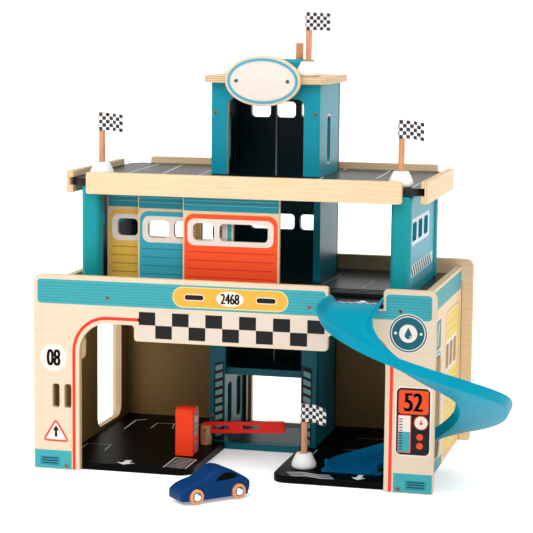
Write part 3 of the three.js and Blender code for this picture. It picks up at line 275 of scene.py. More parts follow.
birch_front = birch_plywood("matt_lacquered_birch_ply_front", "Y", "X")
birch_facade = birch_plywood("white_tinted_birch_ply_facade", "Y", "X", "#CBBAA4", "#C1AB92", "#C6B299")
birch_side = birch_plywood("matt_lacquered_birch_ply_side", "X", "Y")
birch_level = birch_plywood("matt_lacquered_birch_ply_level", "Z", "X")
print("birch finishes", birch_front.name, birch_side.name, birch_level.name)
# %% [markdown]
# ## Painted boards
# The tower, the storey's posts and the lift are the same plywood, sprayed with satin water-based
# paint. Spray paint keeps a trace of the grain and a soft orange peel, and its gloss differs a
# little from place to place. Where a board was sawn after painting, its edge is bare wood. The inner
# faces of the shaft and the upper panels are drawn blackish teal with almost no gloss: painted shade.

# %% Satin paint and lacquer
def painted_board(name, hex_code, along="Z", rough=0.36, doorway_half_mm=0, shade=0.8, gloss=0.15, painted_shade_inside=None):
    finish, tree, shader = new_finish(name)
    where, lines = grain(tree, along, 3.2, 12)
    deep = [c * shade for c in colour(hex_code)[:3]] + [1]
    face = add(tree, "ShaderNodeMix", {"Factor": lines, "A": deep, "B": colour(hex_code)}, data_type="RGBA")
    coat = face.outputs["Result"]
    # Painted shade: faces that look in towards the middle line get a blackish teal and almost no gloss, as little light
    # reaches the insides of the shaft and the upper panels.
    if painted_shade_inside:
        shape = add(tree, "ShaderNodeNewGeometry")
        from_middle = add(tree, "ShaderNodeVectorMath", {0: where.outputs["Object"], 1: at(0, 0, 0)}, operation="SUBTRACT")
        flat = add(tree, "ShaderNodeVectorMath", {0: from_middle.outputs["Vector"], 1: (1, 0, 0)}, operation="MULTIPLY")
        outwards = add(tree, "ShaderNodeVectorMath", {0: flat.outputs["Vector"], 1: shape.outputs["Normal"]}, operation="DOT_PRODUCT")
        inwards = add(tree, "ShaderNodeMath", {0: outwards.outputs["Value"], 1: -0.02}, operation="LESS_THAN")
        both = add(tree, "ShaderNodeMix", {"Factor": inwards.outputs["Value"], "A": coat, "B": colour(painted_shade_inside)}, data_type="RGBA")
        coat = both.outputs["Result"]
        shine = add(tree, "ShaderNodeMapRange", {"Value": inwards.outputs["Value"], "To Min": gloss, "To Max": 0.02})
        tree.links.new(shine.outputs["Result"], shader.inputs["Specular IOR Level"])
    if doorway_half_mm:
        parts = add(tree, "ShaderNodeSeparateXYZ", {"Vector": where.outputs["Object"]})
        from_middle = add(tree, "ShaderNodeMath", {0: parts.outputs["X"], 1: -ORIGIN_X * MM, 2: doorway_half_mm * MM}, operation="COMPARE")
        doorway = add(tree, "ShaderNodeMath", {0: edge_mask(tree, "Y"), 1: from_middle.outputs["Value"]}, operation="MULTIPLY")
        sawn = add(tree, "ShaderNodeMix", {"Factor": doorway.outputs["Value"], "A": coat, "B": plies(tree, where, "Y")}, data_type="RGBA")
        coat = sawn.outputs["Result"]
    tree.links.new(coat, shader.inputs["Base Color"])
    peel = add(tree, "ShaderNodeTexNoise", {"Vector": where.outputs["Object"], "Scale": 420.0, "Detail": 2.0})
    sheen = add(tree, "ShaderNodeMapRange", {"Value": peel.outputs["Fac"], "To Min": rough - 0.06, "To Max": rough + 0.08})
    tree.links.new(sheen.outputs["Result"], shader.inputs["Roughness"])
    mixed = add(tree, "ShaderNodeMath", {0: lines, 1: peel.outputs["Fac"]}, operation="ADD")
    relief = add(tree, "ShaderNodeBump", {"Height": mixed.outputs["Value"], "Strength": 0.1, "Distance": 0.00015})
    tree.links.new(relief.outputs["Normal"], shader.inputs["Normal"])
    shader.inputs["IOR"].default_value = 1.5
    shader.inputs["Specular IOR Level"].default_value = gloss
    return finish


TEAL, DARK_TEAL, NIGHT_TEAL = "#0C8EA1", "#056370", "#022A31"
teal_front = painted_board("satin_teal_paint_with_sawn_doorway", TEAL, doorway_half_mm=60)
teal_paint = painted_board("satin_teal_paint", TEAL)
# The shaft's side walls and the upper panels get painted shade on their inner faces.
shaft_teal = painted_board("satin_teal_paint_dark_inside", TEAL, painted_shade_inside=NIGHT_TEAL)
night_teal = painted_board("satin_blackish_teal_paint", NIGHT_TEAL)
post_teal = painted_board("satin_green_teal_paint", "#0B8A90")
dark_teal = painted_board("satin_dark_teal_paint", DARK_TEAL)
deck_black = painted_board("black_lacquered_deck", "#08090A", "X", 0.3, gloss=0.3)
base_black = painted_board("black_lacquered_base", "#020202", "X", 0.4, gloss=0.05)
pump_red = painted_board("satin_vermilion_paint", "#F23C12", "Z", 0.4)
barrier_red = painted_board("satin_signal_red_paint", "#F02818", "X", 0.36)
gloss_white = painted_board("satin_white_paint_on_turned_wood", "#DFDEDB", "X", 0.3, shade=0.95)
print("painted finishes", len(bpy.data.materials))

# %% [markdown]
# ## Turned beech
# The flag poles, the crank's peg, the barrier's post and the car's wheels are bare beech. Beech is
# pinkish brown with short dark flecks a few millimetres long, so a stretched noise gives the colour
# and a second one, cut off high, gives the flecks.

# %% Bare beech
def bare_beech(name, along):
    finish, tree, shader = new_finish(name)
    where, lines = grain(tree, along, 0.9, 14)
    tone = add(tree, "ShaderNodeValToRGB", {"Fac": lines})
    tone.color_ramp.elements[0].position = 0.28
    tone.color_ramp.elements[0].color = colour("#A96D41")
    tone.color_ramp.elements[1].position = 0.66
    tone.color_ramp.elements[1].color = colour("#CD9269")
    spot = 1 / (0.7 * MM)
    fleck_space = add(tree, "ShaderNodeMapping", {"Vector": where.outputs["Object"], "Scale": [spot / 6 if axis == along else spot for axis in AXES]})
    flecks = add(tree, "ShaderNodeTexNoise", {"Vector": fleck_space.outputs["Vector"], "Scale": 1.0, "Detail": 1.0})
    cut = add(tree, "ShaderNodeMapRange", {"Value": flecks.outputs["Fac"], "From Min": 0.62, "From Max": 0.72, "To Min": 0.0, "To Max": 0.45})
    wood = add(tree, "ShaderNodeMix", {"Factor": cut.outputs["Result"], "A": tone.outputs["Color"], "B": colour("#8D532F")}, data_type="RGBA")
    tree.links.new(wood.outputs["Result"], shader.inputs["Base Color"])
    relief = add(tree, "ShaderNodeBump", {"Height": lines, "Strength": 0.2, "Distance": 0.0001})
    tree.links.new(relief.outputs["Normal"], shader.inputs["Normal"])
    shader.inputs["Roughness"].default_value = 0.55
    shader.inputs["IOR"].default_value = 1.5
    return finish


beech_upright = bare_beech("bare_turned_beech_upright", "Z")
beech_cross = bare_beech("bare_turned_beech_across", "X")
print("beech ready")

# %% [markdown]
# ## Ramp plastic, metal, cloth and cord
# The ramp is injection-moulded polypropylene in one bright blue: glossy, slightly milky, with the
# faint waviness of a moulded wall. Near the foot the blue is drawn deeper, as painted shade. Screws are
# bright zinc-plated steel, the hub caps are chromed, the banners are plain-woven cotton with a printed
# check, and the lift hangs on a braided cord.

# %% Plastic and metal
def moulded_plastic(name, hex_code):
    finish, tree, shader = new_finish(name)
    where = add(tree, "ShaderNodeTexCoord")
    wall = add(tree, "ShaderNodeTexNoise", {"Vector": where.outputs["Object"], "Scale": 22.0, "Detail": 2.0})
    deep = [c * 0.86 for c in colour(hex_code)[:3]] + [1]
    tint = add(tree, "ShaderNodeMix", {"Factor": wall.outputs["Fac"], "A": deep, "B": colour(hex_code)}, data_type="RGBA")
    # Painted shade: below 75 mm the blue turns deeper, fully #02507A at 20 mm, where the foot stands in the facade's
    # shade.
    height = add(tree, "ShaderNodeSeparateXYZ", {"Vector": where.outputs["Object"]})
    foot = add(tree, "ShaderNodeMapRange", {"Value": height.outputs["Z"], "From Min": 0.02, "From Max": 0.075, "To Min": 1.0, "To Max": 0.0})
    body = add(tree, "ShaderNodeMix", {"Factor": foot.outputs["Result"], "A": tint.outputs["Result"], "B": colour("#02507A")}, data_type="RGBA")
    tree.links.new(body.outputs["Result"], shader.inputs["Base Color"])
    gloss = add(tree, "ShaderNodeMapRange", {"Value": wall.outputs["Fac"], "To Min": 0.3, "To Max": 0.4})
    tree.links.new(gloss.outputs["Result"], shader.inputs["Roughness"])
    relief = add(tree, "ShaderNodeBump", {"Height": wall.outputs["Fac"], "Strength": 0.06, "Distance": 0.001})
    tree.links.new(relief.outputs["Normal"], shader.inputs["Normal"])
    shader.inputs["IOR"].default_value = 1.49
    shader.inputs["Specular IOR Level"].default_value = 0.02
    return finish


def metal(name, hex_code, rough, spread):
    finish, tree, shader = new_finish(name)
    where = add(tree, "ShaderNodeTexCoord")
    fine = add(tree, "ShaderNodeTexNoise", {"Vector": where.outputs["Object"], "Scale": 900.0, "Detail": 2.0})
    gloss = add(tree, "ShaderNodeMapRange", {"Value": fine.outputs["Fac"], "To Min": rough, "To Max": rough + spread})
    tree.links.new(gloss.outputs["Result"], shader.inputs["Roughness"])
    shader.inputs["Base Color"].default_value = colour(hex_code)
    shader.inputs["Metallic"].default_value = 1
    return finish


ramp_plastic = moulded_plastic("glossy_moulded_polypropylene", "#03869E")
zinc_steel = metal("bright_zinc_plated_steel", "#77746C", 0.25, 0.2)
chrome = metal("polished_chrome", "#E6E8EA", 0.04, 0.05)
print("plastic and metals ready")

# %% Cloth, cord and rubber
CHECKS_ACROSS, CHECKS_UP = 11, 5


def check_cotton(name):
    """Plain-woven cotton with a printed check; the threads are drawn 0.8 mm apart, about twice as coarse as real ones."""
    finish, tree, shader = new_finish(name)
    where = add(tree, "ShaderNodeUVMap", uv_map="cloth")
    squares = add(tree, "ShaderNodeMapping", {"Vector": where.outputs["UV"], "Location": (0.001, 0.001, 0.5), "Scale": (CHECKS_ACROSS, CHECKS_UP, 0)})
    check = add(tree, "ShaderNodeTexChecker", {"Vector": squares.outputs["Vector"], "Color1": colour("#DAD8D4"), "Color2": colour("#251720"), "Scale": 1.0})
    weave_space = add(tree, "ShaderNodeMapping", {"Vector": where.outputs["UV"], "Scale": (40, 28, 1)})
    weave = add(tree, "ShaderNodeTexChecker", {"Vector": weave_space.outputs["Vector"], "Color1": (1, 1, 1, 1), "Color2": (0.72, 0.72, 0.72, 1), "Scale": 1.0})
    cloth = add(tree, "ShaderNodeMix", {"Factor": 0.25, "A": check.outputs["Color"], "B": weave.outputs["Color"]}, data_type="RGBA", blend_type="MULTIPLY")
    tree.links.new(cloth.outputs["Result"], shader.inputs["Base Color"])
    relief = add(tree, "ShaderNodeBump", {"Height": weave.outputs["Fac"], "Strength": 0.3, "Distance": 0.0001})
    tree.links.new(relief.outputs["Normal"], shader.inputs["Normal"])
    shader.inputs["Roughness"].default_value = 0.85
    shader.inputs["Sheen Weight"].default_value = 0.15
    return finish


def braided_cord(name):
    finish, tree, shader = new_finish(name)
    where = add(tree, "ShaderNodeTexCoord")
    braid = add(tree, "ShaderNodeTexWave", {"Vector": where.outputs["Object"], "Scale": 2 * math.pi / (20 * 1.2 * MM), "Distortion": 2.0}, wave_type="BANDS", bands_direction="DIAGONAL")
    tint = add(tree, "ShaderNodeMix", {"Factor": braid.outputs["Fac"], "A": colour("#5D5B58"), "B": colour("#999691")}, data_type="RGBA")
    tree.links.new(tint.outputs["Result"], shader.inputs["Base Color"])
    relief = add(tree, "ShaderNodeBump", {"Height": braid.outputs["Fac"], "Strength": 0.5, "Distance": 0.0002})
    tree.links.new(relief.outputs["Normal"], shader.inputs["Normal"])
    shader.inputs["Roughness"].default_value = 0.85
    return finish


check_banner = check_cotton("check_printed_cotton")
lift_cord_finish = braided_cord("braided_grey_cord")
# This black serves the wheels' rubber rings and, as painted shade, the screws' cross recesses.
black_rubber_and_recess_shade = painted_board("matt_black_rubber_and_recess_shade", "#191415", "X", 0.6)
car_blue = painted_board("satin_navy_lacquer_on_wood", "#04305F", "Z", 0.35, gloss=0.05)
print("cloth and cord ready")

# %% [markdown]
# ## Printing inks
# The pictures on the boards are screen printed: a thin flat layer of ink whose edge is crisp and
# through which a little grain shows. Each ink is one finish, and the prints are thin raised outlines
# laid 0.05 mm apart, as real layers of ink lie on each other. Drawing them as outlines keeps their
# edges sharp at any zoom, which a picture would not.

# %% Inks
LAYER_MM = 0.05


def ink(name, hex_code, gloss=0.2):
    finish, tree, shader = new_finish("printed_ink_" + name)
    where, lines = grain(tree, "X", 2.2, 10)
    deep = [c * 0.84 for c in colour(hex_code)[:3]] + [1]
    layer = add(tree, "ShaderNodeMix", {"Factor": lines, "A": deep, "B": colour(hex_code)}, data_type="RGBA")
    tree.links.new(layer.outputs["Result"], shader.inputs["Base Color"])
    relief = add(tree, "ShaderNodeBump", {"Height": lines, "Strength": 0.1, "Distance": 0.0001})
    tree.links.new(relief.outputs["Normal"], shader.inputs["Normal"])
    shader.inputs["Roughness"].default_value = 0.5
    shader.inputs["Specular IOR Level"].default_value = gloss
    return finish


INKS = {
    "band_blue": ink("band_blue", "#38949B"),
    "line_blue": ink("line_blue", "#1E808D"),
    "cream": ink("cream", "#D9CEC5"),
    "black": ink("black", "#0E0D0F"),
    "yellow": ink("yellow", "#D09E3A"),
    "red_line": ink("red_line", "#E9321C"),
    "orange": ink("orange", "#DB4514"),
    "deep_teal": ink("deep_teal", "#0B5461"),
    "door_red": ink("door_red", "#EA4E1F"),
    "door_red_line": ink("door_red_line", "#DB1F14"),
    "door_yellow": ink("door_yellow", "#DAAD47"),
    "door_yellow_line": ink("door_yellow_line", "#8C8A1C"),
    "door_blue": ink("door_blue", "#2F98A9"),
    "door_blue_line": ink("door_blue_line", "#227787"),
    "door_teal": ink("door_teal", "#168695"),
    "pale_teal": ink("pale_teal", "#78A3A7"),
    "road_white": ink("road_white", "#DDE1E3"),
    "wall_yellow": ink("wall_yellow", "#D9BC5C"),
    "wall_yellow_line": ink("wall_yellow_line", "#A98A35"),
    "sign_ring": ink("sign_ring", "#3F9EBB"),
    "pane_black": ink("pane_black", "#030304", gloss=0.03),
    "pill_edge": ink("pill_edge", "#CFC287"),
    "strip_cream": ink("strip_cream", "#C9B9AB"),
    "panel_white": ink("panel_white", "#C9D6DA"),
    "slate": ink("slate", "#4F727A"),
}
print("inks", len(INKS))
# %% [markdown]
# ## Finishes on the boards
# The CAD boards have the right shape already, so they stay and only get their finish. Real boards
# have their sharp edges broken by sanding. A weld joins the imported corners, a planar dissolve
# takes out the triangles and a 0.6 mm bevel rounds the edges, all as modifiers, so that the CAD mesh
# itself is untouched.

# %% Put finishes on boards and break their edges
def dress(finish, *names):
    for name in names:
        board = NODES[name]
        if not board.material_slots:
            board.data.materials.append(finish)
        for slot in board.material_slots:
            slot.material = finish


def break_edges(width_mm, *names, segments=2):
    for name in names:
        board = NODES[name]
        weld = board.modifiers.new("join_corners", "WELD")
        weld.merge_threshold = 0.01 * MM
        flatten = board.modifiers.new("one_face_each_side", "DECIMATE")
        flatten.decimate_type = "DISSOLVE"
        flatten.angle_limit = math.radians(1)
        bevel = board.modifiers.new("sanded_edges", "BEVEL")
        bevel.width = width_mm * MM
        bevel.segments = segments
        bevel.limit_method = "ANGLE"
        bevel.angle_limit = math.radians(35)
        bevel.harden_normals = True


dress(birch_facade, "front_facade")
dress(birch_front, "back_panel", "roof_front_fascia", "roof_rear_rail")
dress(birch_side, "left_side_wall", "right_side_wall", "left_parapet", "right_parapet")
dress(base_black, "base_board")
dress(deck_black, "first_floor_deck", "roof_deck", "door_track_bottom", "door_track_top")
dress(teal_front, "tower_front_wall")
dress(night_teal, "shaft_back_wall")
dress(shaft_teal, "shaft_left_wall", "shaft_right_wall", "upper_left_panel", "upper_right_panel")
dress(dark_teal, "shaft_front_frame", "lift_floor", "lift_roof", "lift_left_side", "lift_right_side")
dress(post_teal, "upper_left_front_post", "upper_right_front_post", "upper_left_rear_post", "upper_right_rear_post")
BOARDS = [name for name in NODES if any(word in name for word in ("facade", "panel", "wall", "board", "deck", "fascia", "rail", "parapet", "track", "frame", "post", "tower_roof", "lift_", "door"))]
BOARDS = [name for name in BOARDS if name not in ("lift_cord", "barrier_post")]
print("boards", len(BOARDS), sorted(set(NODES) - set(BOARDS)))

# %% [markdown]
# ## Lift cabin, sliding doors and small wooden parts
# The cabin is sprayed dark teal. The doors are bare plywood with a print. The pump block and the
# barrier's arm are painted solid wood.

# %% Finish the cabin, doors and small parts
dress(birch_level, "tower_roof")
dress(teal_paint, "crank_arm")
dress(birch_front, "red_door", "blue_door", "yellow_door", "oval_sign")
dress(pump_red, "fuel_pump")
dress(barrier_red, "barrier_arm")
dress(beech_upright, "barrier_post", "crank_axle")
dress(zinc_steel, "barrier_pin", "cord_guide")
UPRIGHTS = [name for name in BOARDS if name.endswith("_post")]
break_edges(0.6, *[name for name in BOARDS if name not in UPRIGHTS])
break_edges(3.0, *UPRIGHTS, segments=5)
break_edges(1.2, "fuel_pump", "barrier_arm", segments=3)
break_edges(0.5, "barrier_post", "crank_axle", "cord_guide", "barrier_pin")
print("broken edges", sum(1 for node in NODES.values() if node.modifiers))

# %% [markdown]
# ## Building pieces from rings
# Turned, moulded and wound pieces all follow a path, so one function skins a row of rings that have
# the same number of points and closes both ends. A second one turns a profile on a lathe.

# %% Skin rings of points
def closed_mesh(name, points, faces, finishes, slots=None, sharp_deg=40, flip_check=True):
    mesh = bpy.data.meshes.new(name)
    mesh.from_pydata([at(*p) for p in points], [], faces)
    for finish in finishes:
        mesh.materials.append(finish)
    if slots:
        mesh.polygons.foreach_set("material_index", slots)
    if flip_check:
        work = bmesh.new()
        work.from_mesh(mesh)
        bmesh.ops.remove_doubles(work, verts=work.verts, dist=0.001 * MM)
        bmesh.ops.recalc_face_normals(work, faces=work.faces)
        work.to_mesh(mesh)
        work.free()
    mesh.shade_smooth()
    mesh.set_sharp_from_angle(angle=math.radians(sharp_deg))
    return mesh


def skin(rings, closed_ends=True):
    count = len(rings[0])
    points = [point for ring in rings for point in ring]
    faces = []
    for k in range(len(rings) - 1):
        for i in range(count):
            j = (i + 1) % count
            faces.append((k * count + i, k * count + j, (k + 1) * count + j, (k + 1) * count + i))
    if closed_ends:
        faces.append(tuple(reversed(range(count))))
        faces.append(tuple((len(rings) - 1) * count + i for i in range(count)))
    return points, faces


def place(name, mesh, body, *replaced):
    thing = bpy.data.objects.new(name, mesh)
    bpy.context.collection.objects.link(thing)
    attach(thing, body)
    if replaced:
        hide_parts(*replaced)
    return thing


def turned(profile, steps=48):
    """Rings of a lathe profile of (radius, height) pairs, round the upright axis; a radius of 0 is drawn as 0.01 mm."""
    return [[(max(r, 0.01) * math.cos(2 * math.pi * i / steps), max(r, 0.01) * math.sin(2 * math.pi * i / steps), z) for i in range(steps)] for r, z in profile]


def moved(rings, x=0, y=0, z=0):
    return [[(px + x, py + y, pz + z) for px, py, pz in ring] for ring in rings]


def rounded_profile(corners, steps=5):
    """A lathe profile whose corners, given as (radius, height, rounding), are rounded off with short curves."""
    points = []
    for k, (r, z, rounding) in enumerate(corners):
        if rounding == 0 or k in (0, len(corners) - 1):
            points.append((r, z))
            continue
        here = Vector((r, z))
        before = Vector(corners[k - 1][:2]) - here
        after = Vector(corners[k + 1][:2]) - here
        start = here + before.normalized() * min(rounding, before.length / 2)
        end = here + after.normalized() * min(rounding, after.length / 2)
        for i in range(steps + 1):
            t = i / steps
            points.append(tuple(start * (1 - t) ** 2 + here * 2 * t * (1 - t) + end * t * t))
    return points


print("ring helpers ready")

# %% [markdown]
# ## Lift cord and its winding
# The cord runs up from the cabin's roof, over a steel pin and three times round the crank's spool.
# A curve with a round bevel would be smooth like wire. A braided cord shows strands, so its ring has
# eight soft lobes that turn along the path.

# %% Braided tube along a path
CORD_RADIUS = 1.1
CORD_LOBES = 8


def braided_tube(path, twist_mm=14.0, steps=32):
    """Rings along a path in millimetres; each ring stands square to the path and turns a little further than the last."""
    rings, travelled = [], 0.0
    side = None
    for k, here in enumerate(path):
        ahead = path[min(k + 1, len(path) - 1)]
        behind = path[max(k - 1, 0)]
        heading = (ahead - behind).normalized()
        if side is None:
            side = heading.orthogonal().normalized()
        side = (side - heading * side.dot(heading)).normalized()
        other = heading.cross(side)
        if k:
            travelled += (here - path[k - 1]).length
        ring = []
        for i in range(steps):
            angle = 2 * math.pi * i / steps
            lobe = 1 - 0.07 * (1 - abs(math.cos(CORD_LOBES / 2 * (angle + 2 * math.pi * travelled / twist_mm))))
            ring.append(tuple(here + (side * math.cos(angle) + other * math.sin(angle)) * CORD_RADIUS * lobe))
        rings.append(ring)
    return rings


CORD_X, CORD_Y, CORD_TOP = 0, 228.5, 465.2
hanging = [Vector((CORD_X, CORD_Y, 106.3 + (CORD_TOP - 106.3) * k / 220)) for k in range(221)]
cord_mesh = closed_mesh("lift_cord_braid", *skin(braided_tube(hanging)), [lift_cord_finish])
cord_piece = place("lift_cord_braid", cord_mesh, "garage", "lift_cord")
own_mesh(cord_piece)
print("lift cord", round(CORD_TOP - 106.3, 1), "mm")

# %% Cord winding on the spool
CRANK_X, CRANK_Y, WIND_RADIUS, CORD_LEVEL, CORD_PITCH = -20.0, 237.9, 9.4, 471.7, 2.8


def winding_path():
    bend, tail, straight = 4.0, 2.4, 2.2
    pin_level = CORD_LEVEL - bend
    points = [Vector((CORD_X, CORD_Y, pin_level - straight + straight * k / 3)) for k in range(3)]
    points += [Vector((CORD_X - bend + bend * math.cos(math.pi / 2 * k / 8), CORD_Y, pin_level + bend * math.sin(math.pi / 2 * k / 8))) for k in range(9)]
    points += [Vector((CORD_X - bend + (CRANK_X - CORD_X + bend) * k / 6, CORD_Y, CORD_LEVEL)) for k in range(1, 6)]
    for k in range(3 * 36 + 1):
        angle = 2 * math.pi * k / 36
        points.append(Vector((CRANK_X - WIND_RADIUS * math.sin(angle), CRANK_Y - WIND_RADIUS * math.cos(angle), CORD_LEVEL - CORD_PITCH * angle / (2 * math.pi))))
    foot = CORD_LEVEL - 3 * CORD_PITCH
    points += [Vector((CRANK_X - tail * math.sin(math.pi / 2 * k / 6), CORD_Y, foot - tail * (1 - math.cos(math.pi / 2 * k / 6)))) for k in range(1, 7)]
    points.append(Vector((CRANK_X - tail, CORD_Y, foot - tail - straight)))
    return points


winding_mesh = closed_mesh("cord_winding_braid", *skin(braided_tube(winding_path())), [lift_cord_finish])
place("cord_winding_braid", winding_mesh, "garage", "cord_winding")
turns = winding_path()
print("winding length", round(sum((b - a).length for a, b in zip(turns, turns[1:])), 1), "mm")

# %% [markdown]
# ## The ramp
# The ramp is one moulded trough that leaves the first floor, swings out round the front, sweeps
# along the right side and comes back in through the wall. Bending a straight trough with a curve
# modifier would twist it, so the trough's section is carried along the route point by point. Its
# rims and inner corners are rounded, as a mould needs.

# %% Ramp route
RAMP_START, RAMP_END, RAMP_RADIUS = 153.7, 143.0, 80.0
FIRST_FLOOR, BASE_TOP = 224.0, 9.0


def ramp_points(step_mm=1.0):
    centre_x, turn_y = RAMP_START + RAMP_RADIUS, -60.0
    sweep_back = turn_y + 160.0
    in_x, in_y = centre_x - RAMP_END, sweep_back - 56.0
    route = [(RAMP_START, 9 - 69.0 * k / 60) for k in range(60)]
    route += [(centre_x + RAMP_RADIUS * math.cos(math.pi * (1 + k / 220)), turn_y + RAMP_RADIUS * math.sin(math.pi * (1 + k / 220))) for k in range(220)]
    route += [(centre_x + RAMP_RADIUS * math.cos(math.pi / 2 * k / 200), turn_y + 160.0 * math.sin(math.pi / 2 * k / 200)) for k in range(200)]
    route += [(centre_x + in_x * math.cos(math.pi / 2 * (1 + k / 110)), in_y + 56.0 * math.sin(math.pi / 2 * (1 + k / 110))) for k in range(110)]
    route += [(RAMP_END, in_y - (in_y - 41.0) * k / 3) for k in range(4)]
    return [Vector((x, y)) for x, y in route]


RAMP_ROUTE = ramp_points()
RAMP_WAYS = [0.0]
for before, here in zip(RAMP_ROUTE, RAMP_ROUTE[1:]):
    RAMP_WAYS.append(RAMP_WAYS[-1] + (here - before).length)
RAMP_LENGTH = RAMP_WAYS[-1]
print("ramp length", round(RAMP_LENGTH), "mm")


# %% Ramp trough
def ramp_drop(way, ease_in=0.25, ease_out=0.12):
    full = 1 - ease_in / 2 - ease_out / 2
    easing = min(way, ease_in)
    out = max(0, way - (1 - ease_out))
    steady = max(0, min(way, 1 - ease_out) - ease_in)
    return (easing**2 / (2 * ease_in) + steady + out - out**2 / (2 * ease_out)) / full


def ramp_section():
    right = [(27.0, -3.0), (27.9, -2.6), (28.4, -1.7), (32.7, 7.6), (32.95, 8.4), (32.6, 8.95), (31.8, 9.0), (30.9, 9.0), (30.35, 8.7), (30.0, 8.0), (27.3, 4.6), (26.2, 2.7), (24.6, 1.1), (22.6, 0.3), (20.2, 0.0), (10.0, 0.0)]
    return right + [(0.0, 0.0)] + [(-out, up) for out, up in reversed(right)]


def route_at(way):
    """The middle line's place and heading at a share of its length, read between two route points."""
    travelled = way * RAMP_LENGTH
    k = next((k for k in range(len(RAMP_WAYS) - 2) if RAMP_WAYS[k + 1] >= travelled), len(RAMP_WAYS) - 2)
    share = (travelled - RAMP_WAYS[k]) / (RAMP_WAYS[k + 1] - RAMP_WAYS[k])
    here = RAMP_ROUTE[k].lerp(RAMP_ROUTE[k + 1], share)
    ahead = (RAMP_ROUTE[k + 1] - RAMP_ROUTE[max(k - 1, 0)]).normalized()
    further = (RAMP_ROUTE[min(k + 2, len(RAMP_ROUTE) - 1)] - RAMP_ROUTE[k]).normalized()
    return here, ahead.lerp(further, share).normalized()


def ramp_rings(first, last):
    rings = []
    landing = BASE_TOP + 0.3 + 3.0
    between = [travelled / RAMP_LENGTH for travelled in RAMP_WAYS]
    for way in [first] + [way for way in between if first + 0.0004 < way < last - 0.0004] + [last]:
        here, heading = route_at(way)
        height = FIRST_FLOOR - (FIRST_FLOOR - landing) * ramp_drop(way)
        bank = 20 * math.sin(math.pi * min(1, way / 0.5)) / 66
        rings.append([(here.x + heading.y * out, here.y - heading.x * out, height + up + bank * out) for out, up in ramp_section()])
    return rings


# %% [markdown]
# The foot of the ramp rests on the base board. Two small lugs stand at its rims and two tabs with a
# screw hole lie beside it, so a child can't pull it out. They are upright blocks with rounded edges,
# made as rings from the bottom up, and they join the lower half's mesh as parts of the same moulding.

# %% Foot of the ramp
def soft_block(low, high, corner, steps=4):
    """An upright block with rounded upright edges and a small chamfer on top, as rings from the bottom up."""
    outline = []
    for x, y, quarter in ((high[0] - corner, high[1] - corner, 0), (low[0] + corner, high[1] - corner, 1), (low[0] + corner, low[1] + corner, 2), (high[0] - corner, low[1] + corner, 3)):
        outline += [(x, y, math.pi / 2 * (quarter + k / steps)) for k in range(steps + 1)]
    rings = []
    for z, radius in ((low[2], corner), (high[2] - 0.8, corner), (high[2] - 0.25, corner - 0.25), (high[2], corner - 0.8)):
        rings.append([(x + radius * math.cos(angle), y + radius * math.sin(angle), z) for x, y, angle in outline])
    return rings


def with_more(first_part, *parts):
    points, faces = list(first_part[0]), list(first_part[1])
    for more_points, more_faces in parts:
        faces += [tuple(i + len(points) for i in face) for face in more_faces]
        points += more_points
    return points, faces


foot_blocks = []
for side in (-1, 1):
    low, high = sorted((RAMP_END + side * 24.0, RAMP_END + side * 37.5))
    foot_blocks.append(skin(soft_block((low, 41.0, 9.3), (high, 54.0, 12.3), 2.5)))
    low, high = sorted((RAMP_END + side * 29.2, RAMP_END + side * 33.0))
    foot_blocks.append(skin(soft_block((low, 41.0, 12.0), (high, 46.5, 25.0), 1.5)))
print("foot blocks", len(foot_blocks))

# %% Ramp halves
for piece_name, node_name, first, last in (("ramp_upper_moulding", "ramp_upper", 0, 0.4999), ("ramp_lower_moulding", "ramp_lower", 0.5001, 1)):
    moulding = skin(ramp_rings(first, last))
    if last == 1:
        moulding = with_more(moulding, *foot_blocks)
    mesh = closed_mesh(piece_name, *moulding, [ramp_plastic], sharp_deg=32)
    place(piece_name, mesh, "garage", node_name)
print("ramp halves made")
# %% [markdown]
# ## The toy car
# The car is cut from one block of wood with a saw, then its long edges are rounded on a router and
# the wheel arches are milled into both sides. So the body is the side profile, carried across the
# width, and it draws in towards both flanks along a quarter circle. The arches are only in the outer
# 5 mm. Subdividing a block would lose the crisp arches.

# %% Car outline
CAR_X, CAR_Y, CAR_TURN = 1.0, -90.0, math.pi * 0.2567
CAR_LENGTH, CAR_WIDTH, CAR_HEIGHT, CAR_FLOOR = 93.0, 34.0, 36.0, 4.5
CAR_EDGE, WHEEL_RADIUS, ARCH_RADIUS = 4.6, 9.2, 10.6
REAR_AXLE, FRONT_AXLE = CAR_LENGTH / 2 - 16.5, CAR_LENGTH / 2 - 16.5 - 57.0
CAR_SHARES = [(0.02, 0), (0, 0.1), (0, 0.27), (0.03, 0.38), (0.1, 0.49), (0.2, 0.57), (0.3, 0.63), (0.37, 0.74), (0.45, 0.88), (0.53, 0.96), (0.61, 0.97), (0.7, 0.9), (0.8, 0.77), (0.9, 0.62), (0.97, 0.5), (1, 0.4), (1, 0.2), (0.97, 0.03), (0.95, 0)]


def flowing(points, steps=6):
    """A smooth open curve through every point."""
    out = []
    for k in range(len(points) - 1):
        a, b, c, d = (Vector(points[min(max(i, 0), len(points) - 1)]) for i in (k - 1, k, k + 1, k + 2))
        for i in range(steps):
            t = i / steps
            out.append(0.5 * (2 * b + (c - a) * t + (2 * a - 5 * b + 4 * c - d) * t * t + (3 * b - a - 3 * c + d) * t**3))
    out.append(Vector(points[-1]))
    return out


car_top = [Vector((p.x * CAR_LENGTH - CAR_LENGTH / 2, CAR_FLOOR + max(0, p.y) * CAR_HEIGHT)) for p in flowing(CAR_SHARES)]
print("car outline points", len(car_top))


